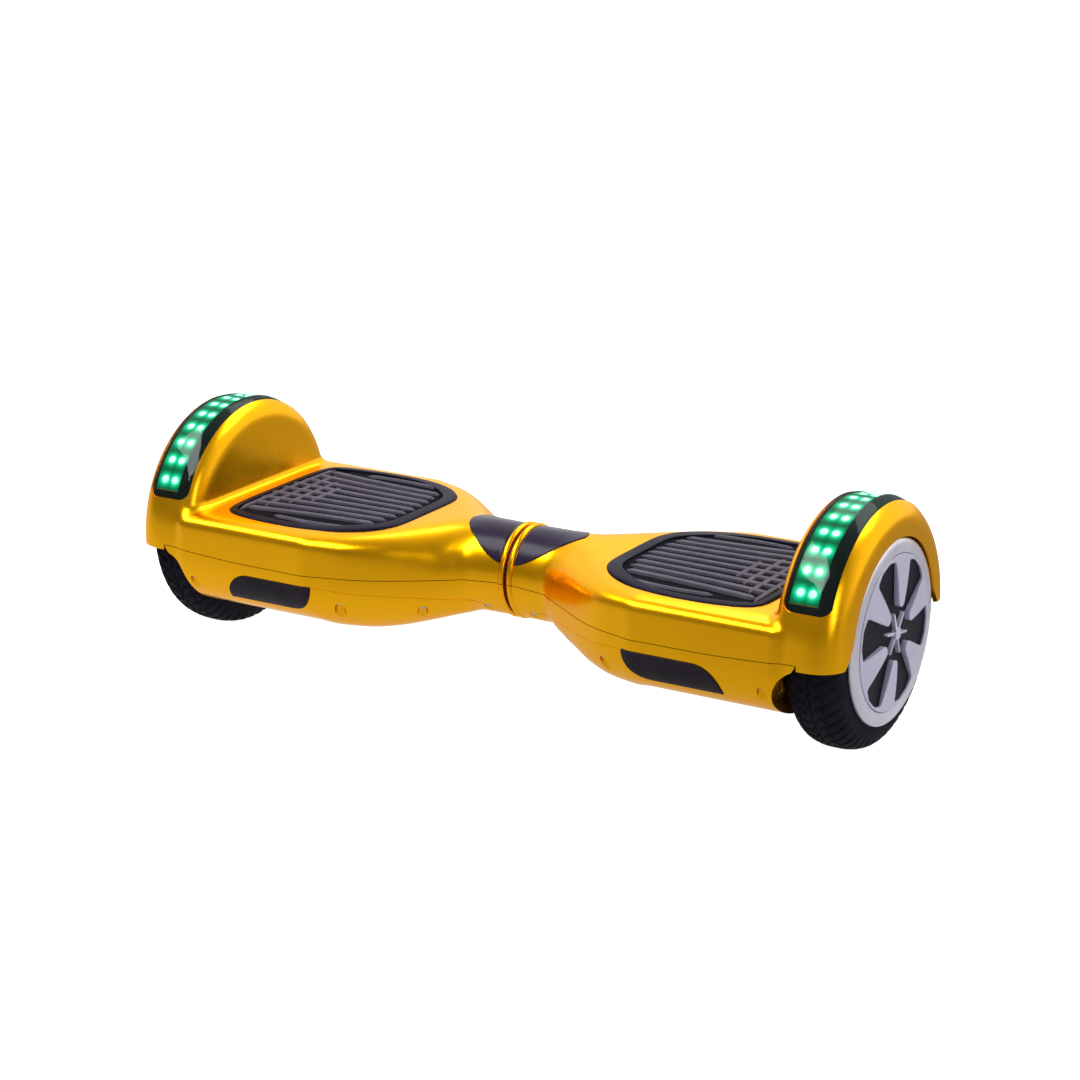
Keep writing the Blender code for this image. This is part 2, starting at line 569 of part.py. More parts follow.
def build_frame(side, tag):
    """Cast frame, axle clamp with its screws, axle, stator and sensor board."""
    plan = ((0.050, 0.020), (0.075, 0.030), (0.110, 0.064), (0.130, 0.074), (0.232, 0.074))
    outline = [(side * x, y) for x, y in plan] + [(side * x, -y) for x, y in reversed(plan)]
    frame = add_prism(f"{tag}_frame", outline, *FRAME_Z, "aluminium")
    collar = add_rod(f"cut_{tag}_collar", (side * 0.0075, 0, TWIST_Z), (side * 0.0700, 0, TWIST_Z), 0.0250,
                     segments=18)
    bore_radius = 0.0158 if side > 0 else SHAFT_RADIUS + 0.0002
    bore = add_rod(f"cut_{tag}_collar_bore", (0, 0, TWIST_Z), (side * 0.0760, 0, TWIST_Z), bore_radius,
                   segments=18)
    boss = add_block(f"cut_{tag}_boss", (side * 0.2030, -0.0170, 0.0720),
                     (side * 0.2330, 0.0170, AXLE_Z - GAP))
    seat = add_rod(f"cut_{tag}_seat", (side * 0.1900, 0, AXLE_Z), (side * 0.2400, 0, AXLE_Z),
                   AXLE_RADIUS + 0.0002)
    cable_hole = add_rod(f"cut_{tag}_cable_hole", (side * 0.1050, 0, 0.060), (side * 0.1050, 0, 0.080),
                         0.0090)
    join(frame, collar, boss)
    cut(frame, bore, seat, cable_hole)
    board_x = (0.1250, 0.1950)
    for number, (x, y) in enumerate((x, y * face) for x in (0.1300, 0.1900) for y in (0.0500,)
                                    for face in (-1, 1)):
        join(frame, add_rod(f"cut_{tag}_board_post_{number}", (side * x, y, 0.0720), (side * x, y, 0.0850),
                            0.0030, segments=8))
    bake(frame)

    clamp = add_block(f"{tag}_axle_clamp", (side * 0.2050, -0.0170, AXLE_Z + GAP),
                      (side * 0.2310, 0.0170, 0.0960), "aluminium")
    cut(clamp, seat)
    for place, y in (("front", -0.0120), ("rear", 0.0120)):
        hole = add_rod(f"cut_{tag}_clamp_hole_{place}", (side * 0.2180, y, 0.0760),
                       (side * 0.2180, y, 0.1000), 0.0022, segments=10)
        cut(clamp, hole)
        shank = add_rod(f"{tag}_clamp_screw_{place}", (side * 0.2180, y, 0.0848),
                        (side * 0.2180, y, 0.0970), 0.0019, "steel", segments=10)
        join(shank, add_rod(f"cut_{tag}_screw_head_{place}", (side * 0.2180, y, 0.0963),
                            (side * 0.2180, y, 0.0995), 0.0036, segments=12))
        cut(shank, add_rod(f"cut_{tag}_screw_hex_{place}", (side * 0.2180, y, 0.0980),
                           (side * 0.2180, y, 0.1010), 0.0018, segments=6))
        bake(shank)
    bake(clamp)

    axle_profile = ((0.2846, 0.0), (0.2846, 0.0044), (0.2840, 0.0050), (0.2525, 0.0050), (0.2525, AXLE_RADIUS),
                    (0.2000, AXLE_RADIUS), (0.2000, 0.0))
    axle = add_turned(f"{tag}_axle", side, axle_profile, "steel", segments=14, closed=False)
    flat = add_block(f"cut_{tag}_axle_flat", (side * 0.1990, -0.01, AXLE_Z + 0.0046),
                     (side * 0.2400, 0.01, AXLE_Z + 0.0100))
    cut(axle, flat)
    bake(axle)

    teeth = []
    for number in range(12):
        for offset, radius in ((-10.5, 0.0515), (10.5, 0.0515), (12.5, 0.0350), (17.5, 0.0350)):
            angle = math.radians(30 * number + offset)
            teeth.append((radius * math.cos(angle), radius * math.sin(angle)))
    rings = [[(side * x, y, AXLE_Z + z) for y, z in teeth] for x in (0.2560, 0.2740)]
    stator = add_loft(f"{tag}_stator", rings, "copper")
    cut(stator, add_rod(f"cut_{tag}_stator_bore", (side * 0.24, 0, AXLE_Z), (side * 0.29, 0, AXLE_Z), 0.0053,
                        segments=14))
    bake(stator)

    board = add_block(f"{tag}_sensor_board", (side * board_x[0], -0.0550, 0.0853),
                      (side * board_x[1], 0.0550, 0.0869), "board")
    for place, y in (("front", -PLUNGER_Y), ("rear", PLUNGER_Y)):
        join(board, add_block(f"cut_{tag}_sensor_{place}", (side * (PLUNGER_X - 0.006), y - 0.006, 0.0860),
                              (side * (PLUNGER_X + 0.006), y + 0.006, 0.0950)))
    join(board, add_block(f"cut_{tag}_gyro_chip", (side * 0.1500, -0.0080, 0.0860),
                          (side * 0.1660, 0.0080, 0.0890)))
    bake(board)


def petal_cutter(name, side, number):
    """Wedge-shaped opening in the wheel cover, wider towards the rim."""
    turn = math.radians(PETAL_TURN + 60 * number)
    root, tip = PETAL_ROOT, PETAL_TIP
    shape = ((root[0], -root[1]), (tip[0] - 0.004, -tip[1] + 0.0008), (tip[0], -tip[1] + 0.0035),
             (PETAL_CROWN, 0.0), (tip[0], tip[1] - 0.0035), (tip[0] - 0.004, tip[1] - 0.0008),
             (root[0], root[1]))
    rings = []
    for x in (0.2850, 0.2960):
        rings.append([
            (side * x, along * math.cos(turn) - across * math.sin(turn),
             AXLE_Z + along * math.sin(turn) + across * math.cos(turn))
            for along, across in shape
        ])
    return add_loft(name, rings)


def build_wheel(side, tag):
    """Tyre, motor housing, magnets, bearings and decorative face."""
    half = ((0.0000, 0.0840), (0.0070, 0.0836), (0.0135, 0.0818), (0.0182, 0.0780), (0.0205, 0.0725),
            (0.0208, 0.0662))
    tyre_profile = [(0.2843, 0.0600), (0.2843, 0.0662)]
    tyre_profile += [(TYRE_MID + x, r) for x, r in reversed(half[:-1])]
    tyre_profile += [(TYRE_MID - x, r) for x, r in half[1:-1]]
    tyre_profile += [(0.2430, 0.0662), (0.2450, 0.0634), (0.2450, 0.0600)]
    add_turned(f"{tag}_tyre", side, tyre_profile, "tyre", segments=TYRE_SEGMENTS)
    rim_profile = ((0.2850, 0.0112), (0.2850, 0.0549), (0.2880, 0.0552), (0.2880, 0.0612), (0.2867, 0.0652),
                   (0.2846, 0.0652), (0.2846, 0.0597), (0.2446, 0.0597), (0.2446, 0.0630), (0.2430, 0.0630),
                   (0.2430, 0.0545), (0.2820, 0.0545), (0.2820, 0.0150), (0.2770, 0.0150), (0.2770, 0.0112))
    add_turned(f"{tag}_rim", side, rim_profile, "silver")
    magnets = ((0.2770, 0.0521), (0.2770, 0.0536), (0.2530, 0.0536), (0.2530, 0.0521))
    add_turned(f"{tag}_magnet_ring", side, magnets, "steel")
    cover = ((0.2465, 0.0160), (0.2465, 0.0540), (0.2440, 0.0540), (0.2440, 0.0128), (0.2520, 0.0128),
             (0.2520, 0.0160))
    add_turned(f"{tag}_motor_cover", side, cover, "aluminium", segments=20)
    for place, ends, outer, inner in (("inner", (0.2442, 0.2515), 0.0125, AXLE_RADIUS + 0.0002),
                                      ("outer", (0.2775, 0.2835), 0.0109, 0.0052)):
        ring = ((ends[1], inner), (ends[1], outer), (ends[0], outer), (ends[0], inner))
        add_turned(f"{tag}_bearing_{place}", side, ring, "steel", segments=14)
    insert = ((0.2872, 0.0), (0.2872, 0.0544), (0.2854, 0.0544), (0.2854, 0.0))
    add_turned(f"{tag}_hub_insert", side, insert, "trim", closed=False)
    face = ((HUB_FACE, 0.0185), (HUB_FACE - 0.0012, 0.0400), (HUB_FACE - 0.0026, 0.0520),
            (HUB_FACE - 0.0038, 0.0546), (0.2876, 0.0546), (0.2876, 0.0185))
    hub = add_turned(f"{tag}_hub_cover", side, face, "silver")
    for number in range(PETALS):
        cut(hub, petal_cutter(f"cut_{tag}_petal_{number}", side, number))
    bake(hub)
    star = add_rod(f"{tag}_hub_star", (side * 0.2875, 0, AXLE_Z), (side * 0.2912, 0, AXLE_Z), 0.0050, "silver",
                   segments=6)
    for number in range(3):
        turn = math.radians(PETAL_TURN + 60 * number)
        bar = add_block(f"cut_{tag}_star_{number}", (0.2875, -0.0160, -0.0009), (0.2900, 0.0160, 0.0009))
        place = Matrix.Translation((0, 0, AXLE_Z)) @ Matrix.Rotation(turn, 4, "X")
        bar.data.transform(place)
        if side < 0:
            bar.data.transform(Matrix.Scale(-1, 4, (1, 0, 0)))
            bar.data.flip_normals()
        join(star, bar)
    bake(star)


def build_centre():
    """Twist shaft and everything there is only one of."""
    add_turned("twist_shaft", 1, ((0.0735, 0.0085), (0.0735, SHAFT_RADIUS), (-0.0680, SHAFT_RADIUS),
                                  (-0.0680, 0.0085)), "steel", segments=16, z=TWIST_Z)
    add_turned("twist_bush", 1, ((0.0690, BUSH_BORE), (0.0690, 0.0155), (0.0080, 0.0155),
                                 (0.0080, BUSH_BORE)), "bronze", segments=16, z=TWIST_Z)
    add_turned("shaft_clip", 1, ((0.0722, SHAFT_RADIUS + 0.0002), (0.0722, 0.0150), (0.0708, 0.0150),
                                 (0.0708, SHAFT_RADIUS + 0.0002)), "steel", segments=16, z=TWIST_Z)
    add_turned("centre_ring", 1, ((0.0016, 0.0250), (0.0016, 0.0322), (-0.0016, 0.0322), (-0.0016, 0.0250)),
               "trim", segments=24, z=TWIST_Z)
    battery = add_block("battery_pack", (0.1240, -0.0460, 0.0380), (0.1900, 0.0460, 0.0680), "battery", 0.0020)
    join(battery, add_block("cut_battery_plug", (0.1160, -0.0080, 0.0550), (0.1260, 0.0080, 0.0660)))
    bake(battery)
    board = add_block("main_board", (-0.1950, -0.0420, 0.0400), (-0.1220, 0.0420, 0.0416), "board")
    join(board, add_block("cut_heat_sink", (-0.1900, -0.0380, 0.0410), (-0.1720, 0.0380, 0.0560)),
         add_block("cut_board_plug", (-0.1400, -0.0120, 0.0410), (-0.1260, 0.0120, 0.0500)))
    for number in range(3):
        x = -0.1545
        y = (number - 1) * 0.0240
        join(board, add_rod(f"cut_capacitor_{number}", (x, y, 0.0410), (x, y, 0.0600), 0.0080, segments=14))
    bake(board)

    path = ((0.0880, 0, TWIST_Z), (-0.0850, 0, TWIST_Z), (-0.0980, 0, 0.0780), (-0.1050, 0, 0.0700),
            (-0.1100, 0, 0.0600), (-0.1180, 0, 0.0530))
    curve = bpy.data.curves.new("centre_cable", "CURVE")
    curve.dimensions = "3D"
    line = curve.splines.new("POLY")
    line.points.add(len(path) - 1)
    for point, place in zip(line.points, path):
        point.co = (*place, 1.0)
    curve.bevel_depth = 0.0045
    curve.bevel_resolution = 2
    curve.use_fill_caps = True
    cable = bpy.data.objects.new("centre_cable", curve)
    cable.data.materials.append(material_for("centre_cable", "cable"))
    PARTS.objects.link(cable)

    x, y = BUTTON_AT
    button = add_rod("power_button", (x, y, 0.0290), (x, y, 0.0350), 0.0070, "trim", segments=18)
    join(button, add_rod("cut_button_flange", (x, y, 0.0343), (x, y, 0.0354), 0.0086, segments=18))
    bake(button)
    switch = add_block("power_switch", (x - 0.0080, y - 0.0080, 0.0378), (x + 0.0080, y + 0.0080, 0.0478),
                       "trim", 0.0006)
    join(switch, add_rod("cut_switch_stem", (x, y, 0.0370), (x, y, 0.0390), 0.0025, segments=12))
    bake(switch)
    x, y = PORT_AT
    socket = add_rod("charge_socket", (x, y, 0.0343), (x, y, 0.0500), 0.0090, "trim", segments=14)
    cut(socket, add_rod("cut_socket_bore", (x, y, 0.0300), (x, y, 0.0460), 0.0062, segments=14))
    for number in range(3):
        angle = math.radians(90 + 120 * number)
        spot = (x + 0.0032 * math.cos(angle), y + 0.0032 * math.sin(angle))
        join(socket, add_rod(f"cut_socket_pin_{number}", (*spot, 0.0390), (*spot, 0.0465), 0.0008, segments=6))
    bake(socket)
    cap = add_rod("charge_port_cap", (x, y, 0.0284), (x, y, 0.0297), 0.0095, "rubber", segments=18)
    join(cap, add_block("cut_cap_tab", (x - 0.0125, y - 0.0030, 0.0284), (x - 0.0070, y + 0.0030, 0.0297)),
         add_rod("cut_cap_knuckle", (x - 0.0130, y - 0.0045, 0.0289), (x - 0.0130, y + 0.0045, 0.0289),
                 0.0008, segments=10))
    bake(cap)


def set_pivots():
    """Parents every moving piece to an empty that stands on its joint axis."""
    half = ("upper_shell", "lower_shell", "frame", "neck_cap", "light_lens", "light_strip", "bumper_front",
            "bumper_rear", "sensor_board", "axle_clamp", "clamp_screw_front", "clamp_screw_rear", "axle",
            "stator")
    wheel = ("tyre", "rim", "magnet_ring", "motor_cover", "bearing_inner", "bearing_outer", "hub_insert",
             "hub_cover", "hub_star")
    groups = {
        "twist_axis": ((0, 0, TWIST_Z), [f"right_{name}" for name in half]
                       + ["twist_bush", "battery_pack", "power_switch", "charge_socket"]),
        "left_wheel_axis": ((-TYRE_MID, 0, AXLE_Z), [f"left_{name}" for name in wheel]),
        "right_wheel_axis": ((TYRE_MID, 0, AXLE_Z), [f"right_{name}" for name in wheel]),
        "left_pad_axis": ((-PLUNGER_X, 0, PAD_BOTTOM_Z), ["left_footpad"]),
        "right_pad_axis": ((PLUNGER_X, 0, PAD_BOTTOM_Z), ["right_footpad"]),
        "button_axis": ((*BUTTON_AT, 0.0290), ["power_button"]),
        "port_cap_axis": ((PORT_AT[0] - 0.0130, PORT_AT[1], 0.0289), ["charge_port_cap"]),
    }
    for name, (place, members) in groups.items():
        pivot = bpy.data.objects.new(name, None)
        pivot.location = place
        PARTS.objects.link(pivot)
        bpy.context.view_layer.update()
        for member in members:
            obj = bpy.data.objects[member]
            obj.parent = pivot
            obj.matrix_parent_inverse = pivot.matrix_world.inverted()


clear_scene()
PARTS = make_collection("self_balancing_board")
CUTTERS = make_collection("cutters", hidden=True)
for side_sign, side_name in ((-1, "left"), (1, "right")):
    build_shells(side_sign, side_name)
    build_trim(side_sign, side_name)
    build_frame(side_sign, side_name)
    build_wheel(side_sign, side_name)
build_centre()
set_pivots()
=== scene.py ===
import json
import math

import bmesh
import bpy
import numpy as np
from mathutils import Matrix, Vector


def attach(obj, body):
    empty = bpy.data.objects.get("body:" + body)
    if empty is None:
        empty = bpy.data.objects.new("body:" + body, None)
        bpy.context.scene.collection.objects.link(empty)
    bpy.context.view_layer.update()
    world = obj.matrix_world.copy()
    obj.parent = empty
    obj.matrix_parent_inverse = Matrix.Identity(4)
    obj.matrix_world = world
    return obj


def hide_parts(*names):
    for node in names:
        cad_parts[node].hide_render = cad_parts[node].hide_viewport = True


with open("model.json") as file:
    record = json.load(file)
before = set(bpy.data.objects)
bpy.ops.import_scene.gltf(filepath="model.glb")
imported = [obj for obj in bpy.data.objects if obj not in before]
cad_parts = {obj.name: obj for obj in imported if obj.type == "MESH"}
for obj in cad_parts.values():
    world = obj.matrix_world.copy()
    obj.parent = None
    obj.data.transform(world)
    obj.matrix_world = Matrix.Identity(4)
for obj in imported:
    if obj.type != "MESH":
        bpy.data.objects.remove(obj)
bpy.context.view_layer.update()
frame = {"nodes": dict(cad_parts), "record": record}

# ---- dimensions, metres
SEAM_Z = 0.08
SEAM_HALF_GAP = 0.00024
AXLE_Z = 0.084
TWIST_Z = 0.081
FLOOR_CLEARANCE = 0.03
WALL = 0.003
DECK_WALL = 0.0055
NECK_END = 0.0022
PLATFORM_END, PLATFORM_BLEND = 0.248, 0.008
FENDER_BLEND = 0.006
FENDER_CLIP_Z = 0.056
FENDER_MID, FENDER_HALF = 0.263, 0.026
FENDER_BASE, FENDER_TOP = 0.07, 0.094
INNER_ROUND, OUTER_ROUND = 2.8, 2.3
WELL_HALF, WELL_TOP = 0.0225, 0.088
ARCH_RADIUS = 0.0662
FENDER_LOW_Z = 0.0795
LIP_X = 0.2605
LENS = (0.245, 0.2795)
LENS_ANGLES = (21.0, 159.0)
LENS_CORNER = 0.008
LENS_THICKNESS = 0.0017
STRIP = (0.2487, 0.2703)
STRIP_RADIUS = 0.0893
LED_ROWS = (0.2551, 0.2639)
# the light board sits nearer the same end of the object in both fenders
STRIP_SHIFT = {1: 0.0, -1: 0.0052}
BOARD_FACE = STRIP_RADIUS + 0.0009
LED_PITCH = 10.0
LED_ENDS = (25.0, 155.0)
TYRE_MID = 0.2635
PETAL_TURNS = np.radians(50.0 + 60.0 * np.arange(6))
TREAD_LUGS = 54
CUTTER_GAP = 0.0003
PLUNGER_X, PLUNGER_Y = 0.165, (-0.045, 0.045)
PAD_FLOOR = 0.11
BUTTON = (0.215, 0.018)
PORT = (0.215, -0.018)

# distance from the middle, half width, top, bottom, upper and lower roundness
SECTIONS = np.array((
    (0.0000, 0.0335, 0.1140, 0.0468, 2.0, 2.0),
    (0.0300, 0.0350, 0.1140, 0.0468, 2.0, 2.0),
    (0.0450, 0.0440, 0.1134, 0.0435, 2.1, 2.5),
    (0.0650, 0.0580, 0.1122, 0.0375, 3.1, 2.7),
    (0.0850, 0.0730, 0.1110, 0.0318, 4.5, 2.7),
    (0.1070, 0.0860, 0.1102, 0.0280, 6.4, 2.6),
    (0.1250, 0.0920, 0.1100, 0.0275, 7.8, 2.6),
    (0.1380, 0.0955, 0.1100, 0.0285, 8.6, 2.5),
    (0.2950, 0.0955, 0.1100, 0.0285, 8.6, 2.5),
))
# parting line between the upper and lower shell: distance from the middle, height
SEAM_LINE = np.array((
    (0.0000, 0.0793), (0.0300, 0.0778), (0.0600, 0.0775), (0.0850, 0.0783), (0.1150, 0.0797),
    (0.1500, 0.0800), (0.1900, 0.0802), (0.2200, 0.0813), (0.2450, 0.0826), (0.2605, 0.0833),
))
# end of the lower shell, from under the belly to the parting line
LIP_LINE = ((0.2405, 0.0300), (0.2406, 0.0500), (0.2415, 0.0560), (0.2430, 0.0615), (0.2448, 0.0660),
            (0.2472, 0.0700), (0.2500, 0.0730), (0.2535, 0.0758), (0.2570, 0.0778), (LIP_X, 0.0793))
PAD_OUTLINE = ((0.0860, 0.0300), (0.0890, 0.0430), (0.0980, 0.0560), (0.1130, 0.0670), (0.1300, 0.0745),
               (0.1500, 0.0780), (0.1700, 0.0785), (0.1900, 0.0775), (0.2080, 0.0745), (0.2180, 0.0690),
               (0.2230, 0.0590))
CAP_START, CAP_END, CAP_HALF_ANGLE = 0.0062, 0.0475, 66.0
BUMPER_X, BUMPER_Z, BUMPER_ROUND = (0.1290, 0.2040), (0.0505, 0.0715), 0.0200
# distance from the middle, height of the closed end, radius
SCREW_WELLS = ((0.2347, 0.0645, 0.0034), (0.1105, 0.0615, 0.0042), (0.0615, 0.0576, 0.0040),
               (0.0195, 0.0600, 0.0034))
# styling line on the lower shell, from the waist to the bumper
CREASE = ((0.0220, 0.0596), (0.0300, 0.0602), (0.0450, 0.0620), (0.0650, 0.0643), (0.0850, 0.0664),
          (0.1000, 0.0680), (0.1150, 0.0698), (0.1285, 0.0715))


# ---- mesh helpers
def add_object(name, data):
    obj = bpy.data.objects.new(name, data)
    bpy.context.scene.collection.objects.link(obj)
    return obj


def to_object(name, build, smooth=35.0):
    mesh = bpy.data.meshes.new(name)
    build.to_mesh(mesh)
    build.free()
    if smooth:
        mesh.shade_smooth()
        mesh.set_sharp_from_angle(angle=math.radians(smooth))
    return add_object(name, mesh)


def solid(name, points, faces, smooth=35.0):
    build = bmesh.new()
    corners = [build.verts.new(tuple(point)) for point in points]
    for face in faces:
        build.faces.new([corners[index] for index in face])
    bmesh.ops.recalc_face_normals(build, faces=build.faces)
    return to_object(name, build, smooth)


def loft(name, rings, smooth=35.0, closed=False):
    """Joins rings of equal length; closed joins the last ring to the first, otherwise the ends are capped."""
    count, rows = len(rings[0]), len(rings)
    points = [point for ring in rings for point in ring]
    faces = []
    for row in range(rows if closed else rows - 1):
        first, second = row * count, (row + 1) % rows * count
        for step in range(count):
            after = (step + 1) % count
            faces.append((first + step, first + after, second + after, second + step))
    if not closed:
        faces += [tuple(range(count)), tuple(range((rows - 1) * count, rows * count))]
    return solid(name, points, faces, smooth)


def revolved(name, rings, ends, smooth=35.0):
    """Closes a turned surface, whose rings run from one end point on its axis to the other."""
    count, rows = len(rings[0]), len(rings)
    points = [point for ring in rings for point in ring] + list(ends)
    first_end, last_end = count * rows, count * rows + 1
    faces = []
    for row in range(rows):
        first, second = row * count, (row + 1) % rows * count
        faces += [(first + k, first + k + 1, second + k + 1, second + k) for k in range(count - 1)]
        faces += [(first_end, first, second), (last_end, second + count - 1, first + count - 1)]
    return solid(name, points, faces, smooth)


def turned(name, side, profile, segments, closed=True, z=AXLE_Z, smooth=35.0):
    """Turns (distance from the middle, radius) about X. An open profile starts and ends on the axis."""
    rings = []
    for step in range(segments):
        angle = 2 * math.pi * step / segments
        rings.append([(side * x, r * math.cos(angle), z + r * math.sin(angle)) for x, r in profile])
    if closed:
        return loft(name, rings, smooth, closed=True)
    return revolved(name, [ring[1:-1] for ring in rings], [(side * profile[i][0], 0, z) for i in (0, -1)], smooth)


def prism(name, outline, low, high, smooth=35.0):
    return loft(name, [[(x, y, z) for x, y in outline] for z in (low, high)], smooth)


def rod(name, start, end, radius, segments=32, smooth=40.0):
    start, end = Vector(start), Vector(end)
    build = bmesh.new()
    turn = Vector((0, 0, 1)).rotation_difference(end - start).to_matrix().to_4x4()
    bmesh.ops.create_cone(build, cap_ends=True, segments=segments, radius1=radius, radius2=radius,
                          depth=(end - start).length, matrix=Matrix.Translation((start + end) / 2) @ turn)
    return to_object(name, build, smooth)


def bake(obj):
    graph = bpy.context.evaluated_depsgraph_get()
    mesh = bpy.data.meshes.new_from_object(obj.evaluated_get(graph))
    obj.modifiers.clear()
    obj.data = mesh


def combine(target, operation, others):
    """Applies booleans one after another and removes the tools."""
    for other in others:
        step = target.modifiers.new("step", "BOOLEAN")
        step.operation = operation
        step.solver = "MANIFOLD"
        step.object = other
    bake(target)
    for other in others:
        bpy.data.objects.remove(other, do_unlink=True)
    return target


def resmooth(obj, angle=35.0):
    obj.data.shade_smooth()
    obj.data.set_sharp_from_angle(angle=math.radians(angle))
    return obj


def soften(obj, width, segments=2, angle=40.0):
    bevel = obj.modifiers.new("bevel", "BEVEL")
    bevel.width = width
    bevel.segments = segments
    bevel.limit_method = "ANGLE"
    bevel.angle_limit = math.radians(angle)
    bevel.harden_normals = False
    bake(obj)
    return resmooth(obj, 60.0)


def merge(name, objects):
    """Makes one object of several, without joining their surfaces."""
    build = bmesh.new()
    for obj in objects:
        build.from_mesh(obj.data)
    for obj in objects:
        bpy.data.objects.remove(obj, do_unlink=True)
    return resmooth(to_object(name, build, 0), 40.0)


# ---- shell surfaces
def table_value(table, column, x):
    """Smooth value of a column of a table whose first column rises with x."""
    xs, ys = table[:, 0], table[:, column]
    slopes = np.diff(ys) / np.diff(xs)
    tangents = np.zeros(len(xs))
    for i in range(1, len(xs) - 1):
        if slopes[i - 1] * slopes[i] > 0:
            tangents[i] = 2 * slopes[i - 1] * slopes[i] / (slopes[i - 1] + slopes[i])
    x = min(max(x, xs[0]), xs[-1])
    i = min(int(np.searchsorted(xs, x, side="right")) - 1, len(xs) - 2)
    step = xs[i + 1] - xs[i]
    t = (x - xs[i]) / step
    return float(ys[i] * (2 * t**3 - 3 * t**2 + 1) + step * tangents[i] * (t**3 - 2 * t**2 + t)
                 + ys[i + 1] * (3 * t**2 - 2 * t**3) + step * tangents[i + 1] * (t**3 - t**2))


def section(x):
    return [table_value(SECTIONS, column, x) for column in range(1, 6)]


def section_point(x, angle, inset=0.0, top_inset=None):
    half, top, bottom, upper, lower = section(x)
    cosine, sine = math.cos(angle), math.sin(angle)
    round_ = upper if sine >= 0 else lower
    top_inset = inset if top_inset is None else top_inset
    height = top - SEAM_Z - top_inset if sine >= 0 else SEAM_Z - bottom - inset
    y = (half - inset) * math.copysign(abs(cosine) ** (2 / round_), cosine)
    z = SEAM_Z + height * math.copysign(abs(sine) ** (2 / round_), sine)
    return y, max(z, FLOOR_CLEARANCE + inset)


def ray_directions():
    """Directions about the axle, close together wherever the deck or the belly curves."""
    angles = set()
    for step in range(120):
        y, z = section_point(0.2, 2 * math.pi * (step + 0.5) / 120)
        angles.add(round(math.degrees(math.atan2(z - AXLE_Z, y)) % 360, 2))
    merged = sorted(angles | set(float(a) for a in np.arange(0, 360, 2.5)))
    kept = [merged[0]]
    for angle in merged[1:]:
        if angle - kept[-1] > 0.4:
            kept.append(angle)
    return np.radians(np.array(kept))


DIRECTIONS = ray_directions()


def smooth_min(a, b, width):
    near = np.maximum(width - np.abs(a - b), 0) / width
    return np.minimum(a, b) - near**2 * width / 4


def oval_distance(across, up, width, height, round_):
    """First-order distance to a superellipse, negative inside it."""
    a, b = np.abs(across) / width, np.abs(up) / height
    size = np.maximum(a**round_ + b**round_, 1e-9) ** (1 / round_)
    slope = size ** (1 - round_) * np.hypot(a ** (round_ - 1) / width, b ** (round_ - 1) / height)
    return (size - 1) / np.maximum(slope, 1e-6)


def platform_distance(x, y, z):
    half, top, bottom, upper, lower = section(x)
    up = z - SEAM_Z
    height = np.where(up >= 0, top - SEAM_Z, SEAM_Z - bottom)
    sides = oval_distance(y, up, half, height, np.where(up >= 0, upper, lower))
    sides = np.maximum(sides, FLOOR_CLEARANCE - z)
    return -smooth_min(-sides, PLATFORM_END - x, PLATFORM_BLEND)


def fender_distance(x, radius, z):
    round_ = OUTER_ROUND if x > FENDER_MID else INNER_ROUND
    above = np.maximum(radius - FENDER_BASE, 0)
    arch = oval_distance(x - FENDER_MID, above, FENDER_HALF, FENDER_TOP - FENDER_BASE, round_)
    return -smooth_min(-arch, z - FENDER_CLIP_Z, FENDER_BLEND)


def body_radii(x):
    """How far the blended platform and fender reach from the axle in every direction, at x."""
    cosine, sine = np.cos(DIRECTIONS), np.sin(DIRECTIONS)
    low, high = np.zeros_like(cosine), np.full_like(cosine, 0.16)
    for _ in range(34):
        middle = (low + high) / 2
        y, z = middle * cosine, AXLE_Z + middle * sine
        value = smooth_min(platform_distance(x, y, z), fender_distance(x, middle, z), FENDER_BLEND)
        low = np.where(value < 0, middle, low)
        high = np.where(value < 0, high, middle)
    return low


def fender_radius(x):
    offset = (x - FENDER_MID) / FENDER_HALF
    round_ = OUTER_ROUND if offset > 0 else INNER_ROUND
    return FENDER_BASE + (FENDER_TOP - FENDER_BASE) * max(1 - abs(offset) ** round_, 0.0) ** (1 / round_)


def fender_profile(half, top, steps):
    profile = [(FENDER_MID + half, 0.0)]
    for step in range(steps + 1):
        angle = math.pi * step / steps
        cosine, sine = math.cos(angle), math.sin(angle)
        round_ = OUTER_ROUND if cosine >= 0 else INNER_ROUND
        along = FENDER_MID + half * math.copysign(abs(cosine) ** (2 / round_), cosine)
        profile.append((along, FENDER_BASE + (top - FENDER_BASE) * sine ** (2 / round_)))
    profile.append((FENDER_MID - half, 0.0))
    return profile


def ring_at(side, x, radii):
    return np.stack([np.full_like(radii, side * x), radii * np.cos(DIRECTIONS),
                     AXLE_Z + radii * np.sin(DIRECTIONS)], axis=1)


def body_stations():
    """Distances from the middle at which the shells are sampled, closest where they curve most."""
    xs = [*np.linspace(NECK_END, 0.045, 12), *np.linspace(0.048, 0.15, 40), *np.linspace(0.16, 0.226, 6)]
    xs += [*np.linspace(0.2285, FENDER_MID - FENDER_HALF - 0.00002, 22)]
    xs += [x for x, radius in reversed(fender_profile(FENDER_HALF, FENDER_TOP, 56)[2:-2])]
    return xs


BODY = [(x, body_radii(x)) for x in body_stations()]


def body_solid(name, side):
    return loft(name, [ring_at(side, x, radii) for x, radii in BODY])


def slab(name, side, outline):
    """Outline seen from the front, extended right through from front to rear."""
    return loft(name, [[(side * x, y, z) for x, z in outline] for y in (-0.13, 0.13)])


def seam_points(gap):
    xs = np.linspace(0.0, LIP_X, 60)
    return [(x, table_value(SEAM_LINE, 1, x) + gap) for x in xs]


